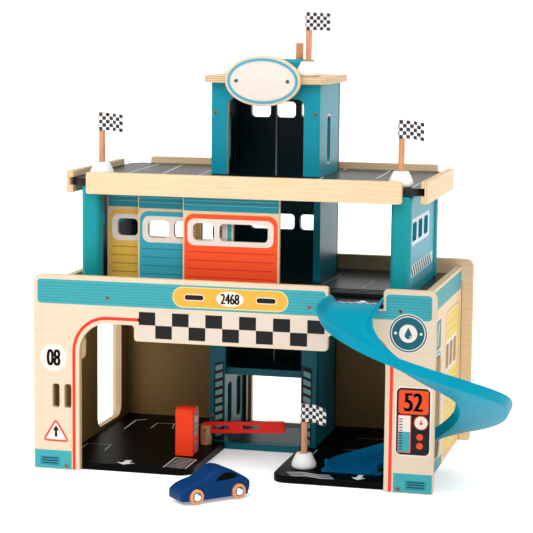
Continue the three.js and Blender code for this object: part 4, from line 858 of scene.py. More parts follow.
# %% Car body
def arch(centre_x, steps=16):
    low = math.asin((CAR_FLOOR - WHEEL_RADIUS) / ARCH_RADIUS)
    angles = [low + (math.pi - 2 * low) * k / steps for k in range(steps + 1)]
    return [Vector((centre_x + ARCH_RADIUS * math.cos(a), WHEEL_RADIUS + ARCH_RADIUS * math.sin(a))) for a in angles]


def drawn_in(outline, weights, amount):
    """The outline moved inwards by amount times each point's weight."""
    out = []
    for k, here in enumerate(outline):
        along = outline[(k + 1) % len(outline)] - outline[k - 1]
        inward = Vector((along.y, -along.x)).normalized()
        out.append(here + inward * amount * weights[k])
    return out


def car_place(x, y, z):
    return (CAR_X + x * math.cos(CAR_TURN) - y * math.sin(CAR_TURN), CAR_Y + x * math.sin(CAR_TURN) + y * math.cos(CAR_TURN), z)


def flank_rings(outline, weights, side, start, edge):
    levels = [(start, 0.0), (CAR_WIDTH / 2 - edge, 0.0)]
    levels += [(CAR_WIDTH / 2 - edge * (1 - math.sin(math.pi / 2 * k / 8)), edge * (1 - math.cos(math.pi / 2 * k / 8))) for k in range(1, 9)]
    return [[car_place(p.x, side * y, p.y) for p in drawn_in(outline, weights, inset)] for y, inset in levels]


core = car_top
core_weights = [1 if p.y > CAR_FLOOR + 1.5 else 0.3 for p in core]
flank = car_top + arch(REAR_AXLE) + arch(FRONT_AXLE)
flank_weights = core_weights + [0.0] * (len(flank) - len(core))
body_points, body_faces = skin([[car_place(p.x, y, p.y) for p in core] for y in (-12.3, 0, 12.3)])
for side in (-1, 1):
    rings = flank_rings(flank, flank_weights, side, 12.3, CAR_EDGE)
    more_points, more_faces = skin(rings, closed_ends=False)
    for ring, start in ((rings[0], 0), (rings[-1], (len(rings) - 1) * len(flank))):
        flat = [Vector((p.x, p.y, 0)) for p in (flank if start == 0 else drawn_in(flank, flank_weights, CAR_EDGE))]
        more_faces += [tuple(start + i for i in face) for face in tessellate_polygon([flat])]
    body_faces += [tuple(i + len(body_points) for i in face) for face in more_faces]
    body_points += more_points
car_mesh = closed_mesh("car_body_block", body_points, body_faces, [car_blue], sharp_deg=32)
place("car_body_block", car_mesh, "car", "car_body")
print("car body faces", len(car_mesh.polygons))

# %% Car windows
WINDOW_SHARES = [(0.49, 0.57), (0.515, 0.66), (0.555, 0.745), (0.63, 0.81), (0.71, 0.785), (0.78, 0.7), (0.79, 0.635), (0.74, 0.6), (0.61, 0.575)]


def flank_depth(spot):
    """How far out the rounded flank lies at a place on the side profile."""
    nearest = min((spot - p).length for p in car_top)
    if nearest >= CAR_EDGE:
        return CAR_WIDTH / 2
    return CAR_WIDTH / 2 - CAR_EDGE * (1 - math.sqrt(1 - (1 - nearest / CAR_EDGE) ** 2))


def car_window(side):
    """The printed window, in rings about its middle so that it follows the rounded flank."""
    edge = [Vector((x * CAR_LENGTH - CAR_LENGTH / 2, CAR_FLOOR + z * CAR_HEIGHT)) for x, z in WINDOW_SHARES]
    edge = [0.5 * (2 * b + (c - a) * t + (2 * a - 5 * b + 4 * c - d) * t * t + (3 * b - a - 3 * c + d) * t**3) for k in range(len(edge)) for a, b, c, d in [(edge[k - 1], edge[k], edge[(k + 1) % len(edge)], edge[(k + 2) % len(edge)])] for t in (0, 0.25, 0.5, 0.75)]
    middle = sum(edge, Vector((0, 0))) / len(edge)
    rings = [[middle + (p - middle) * share for p in edge] for share in (0.02, 0.3, 0.55, 0.75, 0.88, 0.95, 1)]
    return skin([[car_place(p.x, side * (flank_depth(p) + LAYER_MM), p.y) for p in ring] for ring in rings], closed_ends=False)


for side, word in ((-1, "left"), (1, "right")):
    window_mesh = closed_mesh("car_window_" + word, *car_window(side), [INKS["pane_black"]], sharp_deg=180, flip_check=False)
    place("car_window_" + word, window_mesh, "car")
print("window points", len(window_mesh.vertices))

# %% Wheels
# A wheel is turned beech with a groove, and a chromed cap sits in a dark ring on its outside.
WHEEL_PROFILE = [(0.0, 12.3, 0), (4.0, 12.3, 0), (8.4, 12.3, 0.5), (9.2, 13.0, 0.8), (9.2, 18.0, 0.9), (8.3, 18.8, 0.9), (5.6, 18.8, 0.2), (5.3, 18.5, 0)]
RING_PROFILE = [(5.3, 18.5, 0), (5.2, 19.0, 0.2), (4.7, 19.0, 0.2), (4.6, 18.7, 0)]
CAP_PROFILE = [(4.6, 18.7), (4.5, 19.1), (4.1, 19.7), (3.3, 20.1), (2.2, 20.35), (1.1, 20.4), (0.0, 20.4)]


def wheel_pair(name, axle_x, body, node):
    points, faces, slots = [], [], []
    for side in (-1, 1):
        for slot, profile in enumerate((rounded_profile(WHEEL_PROFILE), rounded_profile(RING_PROFILE), CAP_PROFILE)):
            rings = [[car_place(axle_x + px, side * z, WHEEL_RADIUS + py) for px, py, z in ring] for ring in turned(profile, 56)]
            more_points, more_faces = skin(rings)
            faces += [tuple(i + len(points) for i in face) for face in more_faces]
            slots += [slot] * len(more_faces)
            points += more_points
    axle = [[car_place(axle_x + 1.8 * math.cos(math.pi * i / 8), y, WHEEL_RADIUS + 1.8 * math.sin(math.pi * i / 8)) for i in range(16)] for y in (-12.4, 12.4)]
    more_points, more_faces = skin(axle)
    faces += [tuple(i + len(points) for i in face) for face in more_faces]
    slots += [3] * len(more_faces)
    points += more_points
    mesh = closed_mesh(name, points, faces, [beech_cross, black_rubber_and_recess_shade, chrome, zinc_steel], slots)
    return place(name, mesh, body, node)


wheel_pair("car_front_wheel_pair", FRONT_AXLE, "car_front_axle", "car_front_wheels")
wheel_pair("car_rear_wheel_pair", REAR_AXLE, "car_rear_axle", "car_rear_wheels")
print("wheels made")

# %% [markdown]
# ## Flags
# A flag is a turned, white-lacquered foot, a beech dowel and a cotton banner that is wrapped once
# round the dowel and glued. Cloth simulation would let the little banner hang down, but the real one
# is starched and flies free, so its waves are drawn along the cloth's own length.

# %% Flag foot and pole
FOOT_PROFILE = [(0.0, 0.0, 0), (13.2, 0.0, 0.8), (15.3, 2.2, 2.0), (15.3, 6.5, 3.5), (9.6, 18.4, 1.4), (8.6, 19.0, 0.6), (4.2, 19.0, 0.2), (4.2, 11.0, 0), (0.0, 11.0, 0)]


def grooved_pole(bottom, top, radius=3.9, grooves=16, steps=96):
    """A dowel with shallow grooves along its length, as pressed dowels have, and rounded ends."""
    rings = []
    for z, shrink in ((bottom, 0.6), (bottom + 0.6, 0.0), ((bottom + top) / 2, 0.0), (top - 0.9, 0.0), (top - 0.3, 0.25), (top, 0.9)):
        ring = []
        for i in range(steps):
            angle = 2 * math.pi * i / steps
            depth = 0.22 * max(0.0, math.cos(grooves * angle)) ** 2
            r = radius - shrink - depth
            ring.append((r * math.cos(angle), r * math.sin(angle), z))
        rings.append(ring)
    return rings


print("flag foot corners", len(FOOT_PROFILE))

# %% Banner cloth
BANNER_HEIGHT, BANNER_FLY, SLEEVE_RADIUS = 22.0, 23.0, 4.5


def banner_line(count=64, sleeve=24):
    """The banner seen from above: four fifths of a turn round the pole, then free with soft waves. Each entry is x, y and the share of the free part."""
    line = []
    for k in range(sleeve + 1):
        angle = 2 * math.pi * (0.03 + 0.8 * k / sleeve)
        line.append((SLEEVE_RADIUS * math.cos(angle), SLEEVE_RADIUS * math.sin(angle), 0.0))
    x0, y0, _ = line[-1]
    end = 4.0 + BANNER_FLY
    for k in range(1, count + 1):
        way = k / count
        wave = 2.4 * way * math.sin(2 * math.pi * way) + 0.35 * way * math.sin(5 * math.pi * way)
        line.append((x0 + (end - x0) * way, y0 * (1 - way) ** 3 + wave, way))
    return line


def banner_cloth(name, x, y, stand, droop, body, node):
    line = banner_line()
    lengths = [0.0]
    for before, here in zip(line, line[1:]):
        lengths.append(lengths[-1] + math.hypot(here[0] - before[0], here[1] - before[1]))
    rows = 18
    points, faces, cloth_map = [], [], []
    for k, (px, py, way) in enumerate(line):
        for r in range(rows + 1):
            up = r / rows
            sag = -2.2 * droop * way * way
            belly = 0.5 * way * math.sin(math.pi * up)
            points.append((x + px, y + py + belly, stand + 58.4 + BANNER_HEIGHT * up + sag))
    for k in range(len(line) - 1):
        for r in range(rows):
            a = k * (rows + 1) + r
            faces.append((a, a + rows + 1, a + rows + 2, a + 1))
            cloth_map += [(lengths[k] / lengths[-1], r / rows), (lengths[k + 1] / lengths[-1], r / rows), (lengths[k + 1] / lengths[-1], (r + 1) / rows), (lengths[k] / lengths[-1], (r + 1) / rows)]
    mesh = closed_mesh(name, points, faces, [check_banner], sharp_deg=180, flip_check=False)
    layer = mesh.uv_layers.new(name="cloth")
    for corner, uv in enumerate(cloth_map):
        layer.data[corner].uv = uv
    thing = place(name, mesh, body, node)
    thickness = thing.modifiers.new("cloth_thickness", "SOLIDIFY")
    thickness.thickness = 0.4 * MM
    thickness.offset = 0
    return lengths[-1]


# %% Four flags
FLAGS = {"left": (-187.5, 78.0, 358.3, 1.0), "right": (192.0, 74.0, 358.3, 1.4), "tower": (51.7, 183.0, 484.3, 0.4), "ground": (81.0, 56.0, 9.3, 2.6)}
for flag, (x, y, stand, droop) in FLAGS.items():
    body = "flag_" + flag
    foot = closed_mesh(body + "_foot", *skin(moved(turned(rounded_profile(FOOT_PROFILE), 64), x, y, stand)), [gloss_white])
    place(body + "_foot", foot, body, body + "_base")
    pole = closed_mesh(body + "_pole_dowel", *skin(moved(grooved_pole(11.3, 81.0), x, y, stand)), [beech_upright])
    place(body + "_pole_dowel", pole, body, body + "_pole")
    cut = banner_cloth(body + "_banner_cloth", x, y, stand, droop, body, body + "_banner")
print("flags", len(FLAGS), "banner cut", round(cut, 1), "mm long")

# %% [markdown]
# ## Crank on the tower
# The crank's arm is a teal block of wood with well-rounded edges, already in the CAD model, and a
# grooved beech peg stands on it. The peg is drawn again with its grooves, which the CAD leaves out.

# %% Crank peg
PEG_X, PEG_Y = 30.9, 223.1
peg = closed_mesh("crank_grooved_peg", *skin(moved(grooved_pole(497.0, 525.6, radius=5.0, grooves=20, steps=100), PEG_X, PEG_Y)), [beech_upright])
place("crank_grooved_peg", peg, "crank", "crank_handle")
print("peg", round((525.6 - 497.0), 1), "mm")
# %% [markdown]
# ## Prints on the boards
# A print is a set of flat outlines in ink. Each outline is a list of points in millimetres on the
# board's face, cut into triangles, and lies 0.05 mm above the one below it. One mesh holds all the
# prints of a board, with a material slot for each ink. A texture image could hold them too, but it
# would blur close up and the board would need an unwrapped map.

# %% Outlines in millimetres
def rounded(left, bottom, right, top, radius=0.0, steps=8):
    radii = radius if isinstance(radius, (tuple, list)) else (radius,) * 4
    corners = [(left, bottom, 1, 1, 2), (right, bottom, -1, 1, 3), (right, top, -1, -1, 0), (left, top, 1, -1, 1)]
    points = []
    for (x, y, sx, sy, quarter), r in zip(corners, radii):
        if r <= 0:
            points.append((x, y))
            continue
        for k in range(steps + 1):
            angle = math.pi / 2 * (quarter + k / steps)
            points.append((x + sx * r + r * math.cos(angle), y + sy * r + r * math.sin(angle)))
    return points


def oval(cx, cy, a, b=None, steps=64):
    b = a if b is None else b
    return [(cx + a * math.cos(2 * math.pi * k / steps), cy + b * math.sin(2 * math.pi * k / steps)) for k in range(steps)]


def arc(cx, cy, radius, start_deg, end_deg, steps=24):
    return [(cx + radius * math.cos(math.radians(start_deg + (end_deg - start_deg) * k / steps)), cy + radius * math.sin(math.radians(start_deg + (end_deg - start_deg) * k / steps))) for k in range(steps + 1)]


def stroke(points, width, closed=False):
    """The outline of a pen line of one width along a row of points; a closed one comes back as two loops."""
    line = [Vector(p) for p in points]
    left, right = [], []
    for k, here in enumerate(line):
        before = line[k - 1] if (k or closed) else here
        after = line[(k + 1) % len(line)] if (k < len(line) - 1 or closed) else here
        into, out = (here - before), (after - here)
        into = into.normalized() if into.length > 1e-6 else out.normalized()
        out = out.normalized() if out.length > 1e-6 else into
        bisector = Vector((-(into.y + out.y), into.x + out.x))
        bisector = bisector.normalized() if bisector.length > 1e-6 else Vector((-into.y, into.x))
        reach = width / 2 / max(0.5, bisector.dot(Vector((-into.y, into.x))))
        left.append(tuple(here + bisector * reach))
        right.append(tuple(here - bisector * reach))
    return [left, right] if closed else [left + right[::-1]]


print("outline helpers ready")


# %% From outlines to ink
def mark(ink_name, loops, layer=1):
    loops = loops if isinstance(loops[0][0], (tuple, list)) else [loops]
    points = [p for loop in loops for p in loop]
    faces = tessellate_polygon([[Vector((x, y, 0)) for x, y in loop] for loop in loops])
    return ink_name, points, [tuple(f) for f in faces], layer


def number(ink_name, text, left, bottom, right, top, layer):
    """Plain figures from Blender's own font, fitted into a box and printed three times side by side to look bold."""
    curve = bpy.data.curves.new("figures", "FONT")
    curve.body = text
    holder = bpy.data.objects.new("figures", curve)
    bpy.context.collection.objects.link(holder)
    bpy.context.view_layer.update()
    flat = bpy.data.meshes.new_from_object(holder.evaluated_get(bpy.context.evaluated_depsgraph_get()))
    bpy.data.objects.remove(holder)
    xs, ys = [v.co.x for v in flat.vertices], [v.co.y for v in flat.vertices]
    wide, high = max(xs) - min(xs), max(ys) - min(ys)
    bold = 0.1 * (right - left) / len(text)
    points, faces = [], []
    for shift in (-bold, 0, bold):
        start = len(points)
        points += [(left + bold + shift + (v.co.x - min(xs)) / wide * (right - left - 2 * bold), bottom + (v.co.y - min(ys)) / high * (top - bottom)) for v in flat.vertices]
        faces += [tuple(start + i for i in polygon.vertices) for polygon in flat.polygons]
    return ink_name, points, faces, layer


SIDES = {
    "front": (lambda u, v, d: (u, d, v), -1, Vector((0, -1, 0))),
    "back": (lambda u, v, d: (u, d, v), 1, Vector((0, 1, 0))),
    "left": (lambda u, v, d: (d, u, v), -1, Vector((-1, 0, 0))),
    "right": (lambda u, v, d: (d, u, v), 1, Vector((1, 0, 0))),
    "top": (lambda u, v, d: (u, v, d), 1, Vector((0, 0, 1))),
}
def print_on(name, body, side, depth, marks):
    where, outward, normal = SIDES[side]
    names = list(dict.fromkeys(m[0] for m in marks))
    points, faces, slots = [], [], []
    for ink_name, loop_points, loop_faces, layer in marks:
        start = len(points)
        points += [where(u, v, depth + outward * LAYER_MM * layer) for u, v in loop_points]
        for face in loop_faces:
            corners = [at(*points[start + i]) for i in face[:3]]
            turn = (corners[1] - corners[0]).cross(corners[2] - corners[0])
            face = tuple(start + i for i in face)
            if turn.length < 1e-14:
                continue
            faces.append(face if turn.dot(normal) > 0 else face[::-1])
            slots.append(names.index(ink_name))
    mesh = bpy.data.meshes.new(name)
    mesh.from_pydata([at(*p) for p in points], [], faces)
    for ink_name in names:
        mesh.materials.append(INKS[ink_name])
    mesh.polygons.foreach_set("material_index", slots)
    return place(name, mesh, body)


print("print helpers ready, inks", len(INKS))

# %% [markdown]
# ## The facade's prints
# The facade carries the most: a grooved blue band along its top, a plate with figures and two slots,
# a chequered strip, signs, a red line that follows the arch and a gauge panel on the right leg.

# %% Facade band and chequered strip
NOTCH_LEFT, NOTCH_RIGHT = 119.6, 187.8
band_left = [(-245, 212.5), *arc(-240.5, 212.5, 4.5, 180, 270, 6), (NOTCH_LEFT - 0.2, 208), (187.9, 208), *arc(240.5, 212.5, 4.5, 270, 360, 6), *arc(240.5, 233.5, 4.5, 0, 90, 6), *arc(194.6, 233.5, 4.5, 90, 180, 6), (190.1, 218.4), (117.4, 218.4), *arc(112.9, 233.5, 4.5, 0, 90, 6), *arc(-240.5, 233.5, 4.5, 90, 180, 6)]
facade = [mark("band_blue", band_left)]
for k in range(7):
    z = 212.0 + 3.55 * k
    spans = [(-243.5, 188.5)] if z < 217.5 else [(-243.5, 116.2), (191.3, 243.5)]
    if z < 217.5:
        spans = [(-243.5, 243.5)]
    for left, right in spans:
        facade.append(mark("line_blue", rounded(left, z - 0.4, right, z + 0.4), 2))
squares_left, squares_bottom, square_wide, square_high = -114.4, 170.5, 230.9 / 11, 16.05
for column in range(11):
    for row in range(2):
        left = squares_left + square_wide * column
        bottom = squares_bottom + square_high * row
        tone = "black" if (column + row) % 2 else "strip_cream"
        facade.append(mark(tone, rounded(left, bottom, left + square_wide, bottom + square_high), 2))
facade.append(mark("strip_cream", rounded(-116.0, 169.2, 118.2, 204.0, 5.0), 1))
print("band and strip marks", len(facade))

# %% Number plate, disc, triangle and badge
plate = [mark("pill_edge", rounded(-72.0, 210.4, 72.0, 236.0, 12.8), 3), mark("yellow", rounded(-70.8, 211.6, 70.8, 234.8, 11.6), 4)]
plate += [mark("cream", oval(0, 223.2, 17.2, 9.4), 5), number("black", "2468", -11.8, 216.9, 11.8, 229.5, 6)]
for side in (-1, 1):
    low, high = sorted((side * 33.0, side * 56.5))
    plate += [mark("cream", rounded(low - 1.1, 219.1, high + 1.1, 227.3, 4.1), 5), mark("black", rounded(low, 220.2, high, 226.2, 3.0), 6)]
facade += plate
facade += [mark("cream", oval(-224.2, 140.4, 17.5), 1), number("black", "08", -233.2, 130.4, -215.2, 150.6, 2)]
triangle = [(-221.6, 62.4), (-237.2, 36.5), (-205.4, 36.1)]
soft_triangle = []
for k, corner in enumerate(triangle):
    here, before, after = Vector(corner), Vector(triangle[k - 1]), Vector(triangle[(k + 1) % 3])
    a, b = here + (before - here).normalized() * 4, here + (after - here).normalized() * 4
    soft_triangle += [tuple(a * (1 - t) ** 2 + here * 2 * t * (1 - t) + b * t * t) for t in (0, 0.25, 0.5, 0.75, 1)]
facade += [mark("cream", soft_triangle, 1), mark("red_line", stroke(soft_triangle, 2.2, closed=True), 2)]
facade += [mark("black", [(-223.0, 41.0), (-219.8, 41.0), (-219.8, 49.0), (-217.2, 49.0), (-221.4, 55.5), (-225.6, 49.0), (-223.0, 49.0)], 3)]
BADGE_X, BADGE_Z = 217.2, 192.4
facade += [mark("cream", oval(BADGE_X, BADGE_Z, 23.4), 3), mark("deep_teal", oval(BADGE_X, BADGE_Z, 22.3), 4), mark("cream", [oval(BADGE_X, BADGE_Z, 20.6), oval(BADGE_X, BADGE_Z, 19.5)], 5), mark("cream", oval(BADGE_X, BADGE_Z, 10.8), 5)]
drop = [(BADGE_X + 0.0, BADGE_Z + 7.6), *[(BADGE_X + 4.3 * math.cos(math.radians(a)), BADGE_Z - 2.2 + 4.3 * math.sin(math.radians(a))) for a in range(28, -209, -12)]]
facade += [mark("deep_teal", drop, 6), mark("cream", oval(BADGE_X - 15.2, BADGE_Z, 1.7), 5), mark("cream", oval(BADGE_X + 15.2, BADGE_Z, 1.7), 5)]
facade += [mark("cream", arc(BADGE_X, BADGE_Z - 2.2, 3.2, 300, 360, 8) + arc(BADGE_X, BADGE_Z - 2.2, 2.3, 360, 300, 8), 7)]
print("signs marks", len(facade))

# %% Red line, feet and vents
for side in (-1, 1):
    inner = 197.8 if side < 0 else 198.2
    path = [(side * inner, 0.9), (side * inner, 149.5)]
    bend = arc(side * (inner - 43), 149.5, 43, 0 if side > 0 else 180, 90, 24)
    path = path[:1] + bend + [(side * (114.0 if side < 0 else 119.4), 192.5)]
    facade.append(mark("red_line", stroke(path, 4.0), 1))
    outer_edge, inner_edge = side * 249.0, side * (201.0 if side < 0 else 202.4)
    low, high = sorted((outer_edge, inner_edge))
    facade.append(mark("band_blue", rounded(low, 0.9, high, 24.0), 1))
    patch = sorted((side * 242.0, side * 216.5))
    facade.append(mark("line_blue", rounded(patch[0], 4.6, patch[1], 16.0, 1.5), 2))
    for k in range(3):
        facade.append(mark("black", rounded(patch[0] + 2.2, 7.0 + 3.1 * k, patch[1] - 2.2, 8.2 + 3.1 * k, 0.6), 3))
print("with feet", len(facade))

# %% Gauge panel
gauge = [mark("cream", rounded(203.4, 45.4, 246.6, 129.1, 7.6), 1), mark("black", rounded(205, 47, 245, 127.5, 6), 2)]
gauge += [mark("orange", rounded(207.4, 96.3, 243.1, 125, 3.4), 3), number("black", "52", 213.6, 99.6, 236.6, 121.6, 4)]
gauge += [mark("red_line", rounded(206.9, 49.3, 222.6, 94.9, 0.8), 3), mark("cream", rounded(207.7, 74.8, 221.8, 94.1), 4), mark("band_blue", rounded(207.7, 50.1, 221.8, 74.8), 4)]
for k in range(12):
    gauge.append(mark("black", rounded(208.4, 52.9 + 3.3 * k, 212.6, 54.1 + 3.3 * k), 5))
gauge += [mark("orange", oval(234.6, 86.3, 8.6), 3), mark("cream", oval(234.6, 86.3, 7.6), 4), mark("black", [(233.9, 86.3), (234.6, 92.4), (235.3, 86.3)], 5), mark("red_line", oval(234.6, 85.6, 2.0), 6)]
gauge += [mark("orange", oval(233.4, 69.0, 4.0), 3), mark("orange", oval(233.4, 58.3, 4.0), 3)]
facade += gauge
facade_print = print_on("facade_print", "garage", "front", 0.0, facade)
print("facade faces", len(facade_print.data.polygons))

# %% [markdown]
# ## Prints on the side walls and upper panels
# The same grooved band runs round the corner. The right wall shows a yellow gate with a frame round
# its three slots, and the upper panels have a white frame and a row of slanted black and white bars.

# %% Side walls
def grooved_band(left, right, bottom, top, lines, corner=4.0):
    marks = [mark("band_blue", rounded(left, bottom, right, top, corner), 1)]
    step = (top - bottom - 4) / lines
    marks += [mark("line_blue", rounded(left + 1.2, bottom + 3.6 + step * k, right - 1.2, bottom + 4.4 + step * k), 2) for k in range(lines)]
    return marks


def wall_marks():
    marks = grooved_band(14, 303, 205.5, 230, 6)
    marks += [mark("wall_yellow_line", [rounded(176, 6, 293, 192, (1, 1, 18, 18)), rounded(177.6, 7.6, 291.4, 190.4, (1, 1, 16.6, 16.6))], 1)]
    slots = [rounded(y, 117, y + 24, 149, 5) for y in (182, 213, 244)]
    marks += [mark("wall_yellow", [rounded(180.4, 9, 288.6, 187.6, (1, 1, 14, 14)), rounded(177.9 + 3, 113.2, 272, 153, 3)], 1)]
    marks += [mark("cream", [rounded(180.9, 113.2, 272, 153, 3), *slots], 1)]
    for z in (164.5, 174.5, 104, 94, 84, 74, 64, 54, 44, 34, 24):
        marks.append(mark("wall_yellow_line", rounded(182, z - 0.4, 287, z + 0.4), 2))
    return marks


right_marks = wall_marks()
gate = rounded(22, 18, 139, 147, 14)
right_marks += [mark("cream", [rounded(20.4, 16.4, 140.6, 148.6, 15.4), gate], 1), mark("band_blue", [rounded(17.2, 13.2, 143.8, 151.8, 18.4), rounded(20.4, 16.4, 140.6, 148.6, 15.4)], 1), mark("band_blue", rounded(106, 1.2, 163, 13.4, 3), 1), mark("cream", rounded(98, 152, 140, 193, 5), 1), mark("slate", rounded(100, 154, 138, 191, 4), 2), mark("cream", [(108, 160), (114, 160), (128, 186), (122, 186)], 3)]
print_on("right_wall_print", "garage", "right", 235.0, right_marks)
left_marks = grooved_band(14, 303, 205.5, 230, 6)
left_marks += [mark("red_line", [rounded(170.4, 10.4, 278.6, 168.6, 19), rounded(173.0, 13.0, 276.0, 166.0, 17)], 1), mark("band_blue", [rounded(92.6, 115.6, 131.4, 150.4, 7.5), rounded(95.2, 118.2, 128.8, 147.8, 5.5)], 1)]
print_on("left_wall_print", "garage", "left", -235.0, left_marks)
print("wall marks", len(right_marks) + len(left_marks))


# %% Upper panels
def panel_marks():
    holes = [rounded(y, 290, y + 30, 313, 5) for y in (88, 130, 172)]
    marks = [mark("panel_white", [rounded(79, 285.5, 214, 317.5, 7), *holes], 1), mark("pale_teal", [rounded(77.6, 284.1, 215.4, 318.9, 8.2), rounded(79, 285.5, 214, 317.5, 7)], 1)]
    marks.append(mark("panel_white", rounded(77.0, 246.6, 244.0, 261.6), 1))
    for k in range(10):
        y = 78.0 + 15.0 * k
        marks.append(mark("black", [(y + 14.0, 247.2), (y + 21.6, 247.2), (y + 7.6, 261.0), (y, 261.0)], 2))
    for z in (330, 325, 240, 236):
        marks.append(mark("pale_teal", rounded(78, z - 0.4, 252, z + 0.4), 1))
    return marks


print_on("upper_right_panel_print", "garage", "right", 205.0, panel_marks())
print_on("upper_left_panel_print", "garage", "left", -205.0, panel_marks())
print("panel marks", len(panel_marks()))

# %% [markdown]
# ## Doors, sign, shaft and pump
# Each door is printed like a roller gate: a coloured leaf with darker grooves, a cream frame round
# its windows and a teal head with a few lines. They slide with their doors, so each print rides on
# its own door.

# %% Sliding doors
def door_marks(left, tone, line):
    right = left + 123.0
    windows = [rounded(left + 13.2, 285, left + 40.2, 306.6, 6), rounded(left + 46.8, 285, left + 108.3, 306.6, 6)]
    frame_outline = rounded(left + 6, 279, left + 115.5, 312, 9)
    leaf = rounded(left + 2.2, 227.4, right - 2.2, 318.0, (1, 1, 12, 12))
    marks = [mark("door_teal", rounded(left + 1.2, 321.5, right - 1.2, 342.8, 1), 1), mark(tone, [leaf, frame_outline], 1), mark("cream", [frame_outline, *windows], 1)]
    for z in (329.0, 334.5, 340.0):
        marks.append(mark("pale_teal", rounded(left + 3, z - 0.35, right - 3, z + 0.35), 2))
    for z in (271, 260.5, 250, 239.5, 231):
        marks.append(mark(line, rounded(left + 6, z - 0.6, right - 6, z + 0.6), 2))
    return marks


print_on("red_door_print", "red_door", "front", 62.1, door_marks(-77.6, "door_red", "door_red_line"))
print_on("blue_door_print", "blue_door", "front", 72.9, door_marks(-138.8, "door_blue", "door_blue_line"))
print_on("yellow_door_print", "yellow_door", "front", 83.7, door_marks(-182.4, "door_yellow", "door_yellow_line"))
print("doors printed")

# %% Sign, shaft frame, tower slots and pump
SIGN_Z = 478.6
sign = [mark("sign_ring", [oval(0, SIGN_Z, 45.9, 28.8), oval(0, SIGN_Z, 42.3, 25.2)], 1), mark("cream", oval(0, SIGN_Z, 41.2, 24.1), 1)]
print_on("oval_sign_print", "garage", "front", 149.7, sign)
ladder = []
for left, right, rise in ((-65.0, -52.0, 3.4), (52.0, 65.0, -3.4)):
    tip = 112.0
    ladder.append(mark("black", [(left, 11.5), (right, 11.5), (right, tip + max(rise, 0)), (left, tip - min(rise, 0))], 1))
    for k in range(9):
        z = 15.0 + 10.9 * k
        ladder.append(mark("pale_teal", [(left + 1.7, z), (right - 1.7, z + rise), (right - 1.7, z + rise + 6.8), (left + 1.7, z + 6.8)], 2))
print_on("shaft_frame_print", "garage", "front", 168.0, ladder)
tower_slot = rounded(210, 374, 232, 433, 7.33)
for side, depth in (("right", 71.0), ("left", -71.0)):
    print_on("tower_" + side + "_slot_print", "garage", side, depth, [mark("cream", [rounded(207.4, 371.4, 234.6, 435.6, 10), tower_slot], 1)])
pump = [mark("cream", rounded(77.6, 32.0, 96.4, 64.0, 8.5), 1), mark("slate", rounded(78.8, 33.2, 95.2, 62.8, 7.4), 2), mark("cream", rounded(81.0, 50.5, 93.0, 60.0, 3), 3), mark("cream", rounded(81.0, 42.8, 93.0, 48.6, 1.2), 3), mark("cream", rounded(81.0, 35.4, 93.0, 40.8, 1.2), 3), mark("cream", oval(87, 20.5, 5.0, 7.6), 1), mark("slate", oval(87, 20.5, 4.1, 6.6), 2)]
for k in range(4):
    pump.append(mark("slate", rounded(82.5 + 2.8 * k, 44.0, 84.1 + 2.8 * k, 47.4), 4))
    pump.append(mark("slate", rounded(82.5 + 2.8 * k, 36.4, 84.1 + 2.8 * k, 39.8), 4))
print_on("pump_print", "garage", "right", -66.0, pump)
print("sign, frame, slots and pump printed")

# %% [markdown]
# ## Road markings
# The decks are lacquered black and carry thin white lines, arrows and a chequered threshold.

# %% Lines on the decks
def road(lines, width=1.5, layer=1):
    return [m for line in lines for m in [mark("road_white", stroke(line, width), layer)]]


def arrow(x, y, length=18.0, half=9.0, turn=1):
    return mark("road_white", [(x - half, y), (x, y - turn * length * 0.45), (x + half, y), (x + half * 0.35, y), (x + half * 0.35, y + turn * length * 0.55), (x - half * 0.35, y + turn * length * 0.55), (x - half * 0.35, y)], 1)


roof_marks = road([[(-127, 123), (-147, 295)], [(71.8 + 3, 149), (75, 176)], [(76, 292), (69 + 8, 314)], [(75, 312), (175, 299)], [(142, 176), (138, 303)], [(206, 70), (205, 133)], [(-206, 70), (-205, 133)], [(-175, 120), (-180, 296)], [(-80, 118), (-90, 290)]])
print_on("roof_print", "garage", "top", 358.0, roof_marks)
storey_marks = road([[(135, 136), (136, 218)], [(80, 151), (84, 247)], [(176, 140), (178, 222)]])
for column in range(10):
    for row in range(2):
        tone = "road_white" if (column + row) % 2 else "black"
        storey_marks.append(mark(tone, rounded(129.5 + 5 * column, 10.2 + 4 * row, 134.5 + 5 * column, 14.2 + 4 * row), 1))
storey_marks.append(arrow(156.5, 24, 16, 9))
print_on("storey_print", "garage", "top", 224.0, storey_marks)
base_marks = road([[(-199.5, 205), (-201.5, 262), (-188, 273)], [(-167, 221), (-168, 253), (-145, 257), (-138, 224)], [(-217, 80), (-218, 109), (-187, 112), (-184, 78)], [(-120, 262), (-84, 262)], [(75, 130), (76, 158)], [(108, 168), (150, 176), (196, 170)], [(110, 240), (200, 244)]])
base_marks.append(arrow(-137.5, 21, 24, 12))
base_marks.append(arrow(112, 100, 18, 9))
base_marks.append(arrow(156, 25, 26, 9))
for k in range(7):
    base_marks += road([[(-83, 16 + 7 * k), (-61, 12 + 7 * k)]], 1.2)
base_marks += road([[(-86, 10.4), (-86, 66), (-58, 60), (-58, 10.4)]], 1.2)
for k in range(3):
    base_marks += road([[(66 + 4 * k, 28 - 8 * k), (84 + 4 * k, 33 - 8 * k), (104 + 4 * k, 25 - 8 * k), (120 + 4 * k, 27 - 8 * k)]], 2.4)
print_on("base_print", "garage", "top", 9.0, base_marks)
print("road marks", len(roof_marks) + len(storey_marks) + len(base_marks))

# %% [markdown]
# ## Screws
# Small steel screws hold the boards. A screw head is a 6 mm disc, slightly domed, with a cross-shaped
# recess. Each is built from rings, and the recess is drawn as four flat dark wedges laid just over the
# middle of the head: painted shade standing in for the hollow.

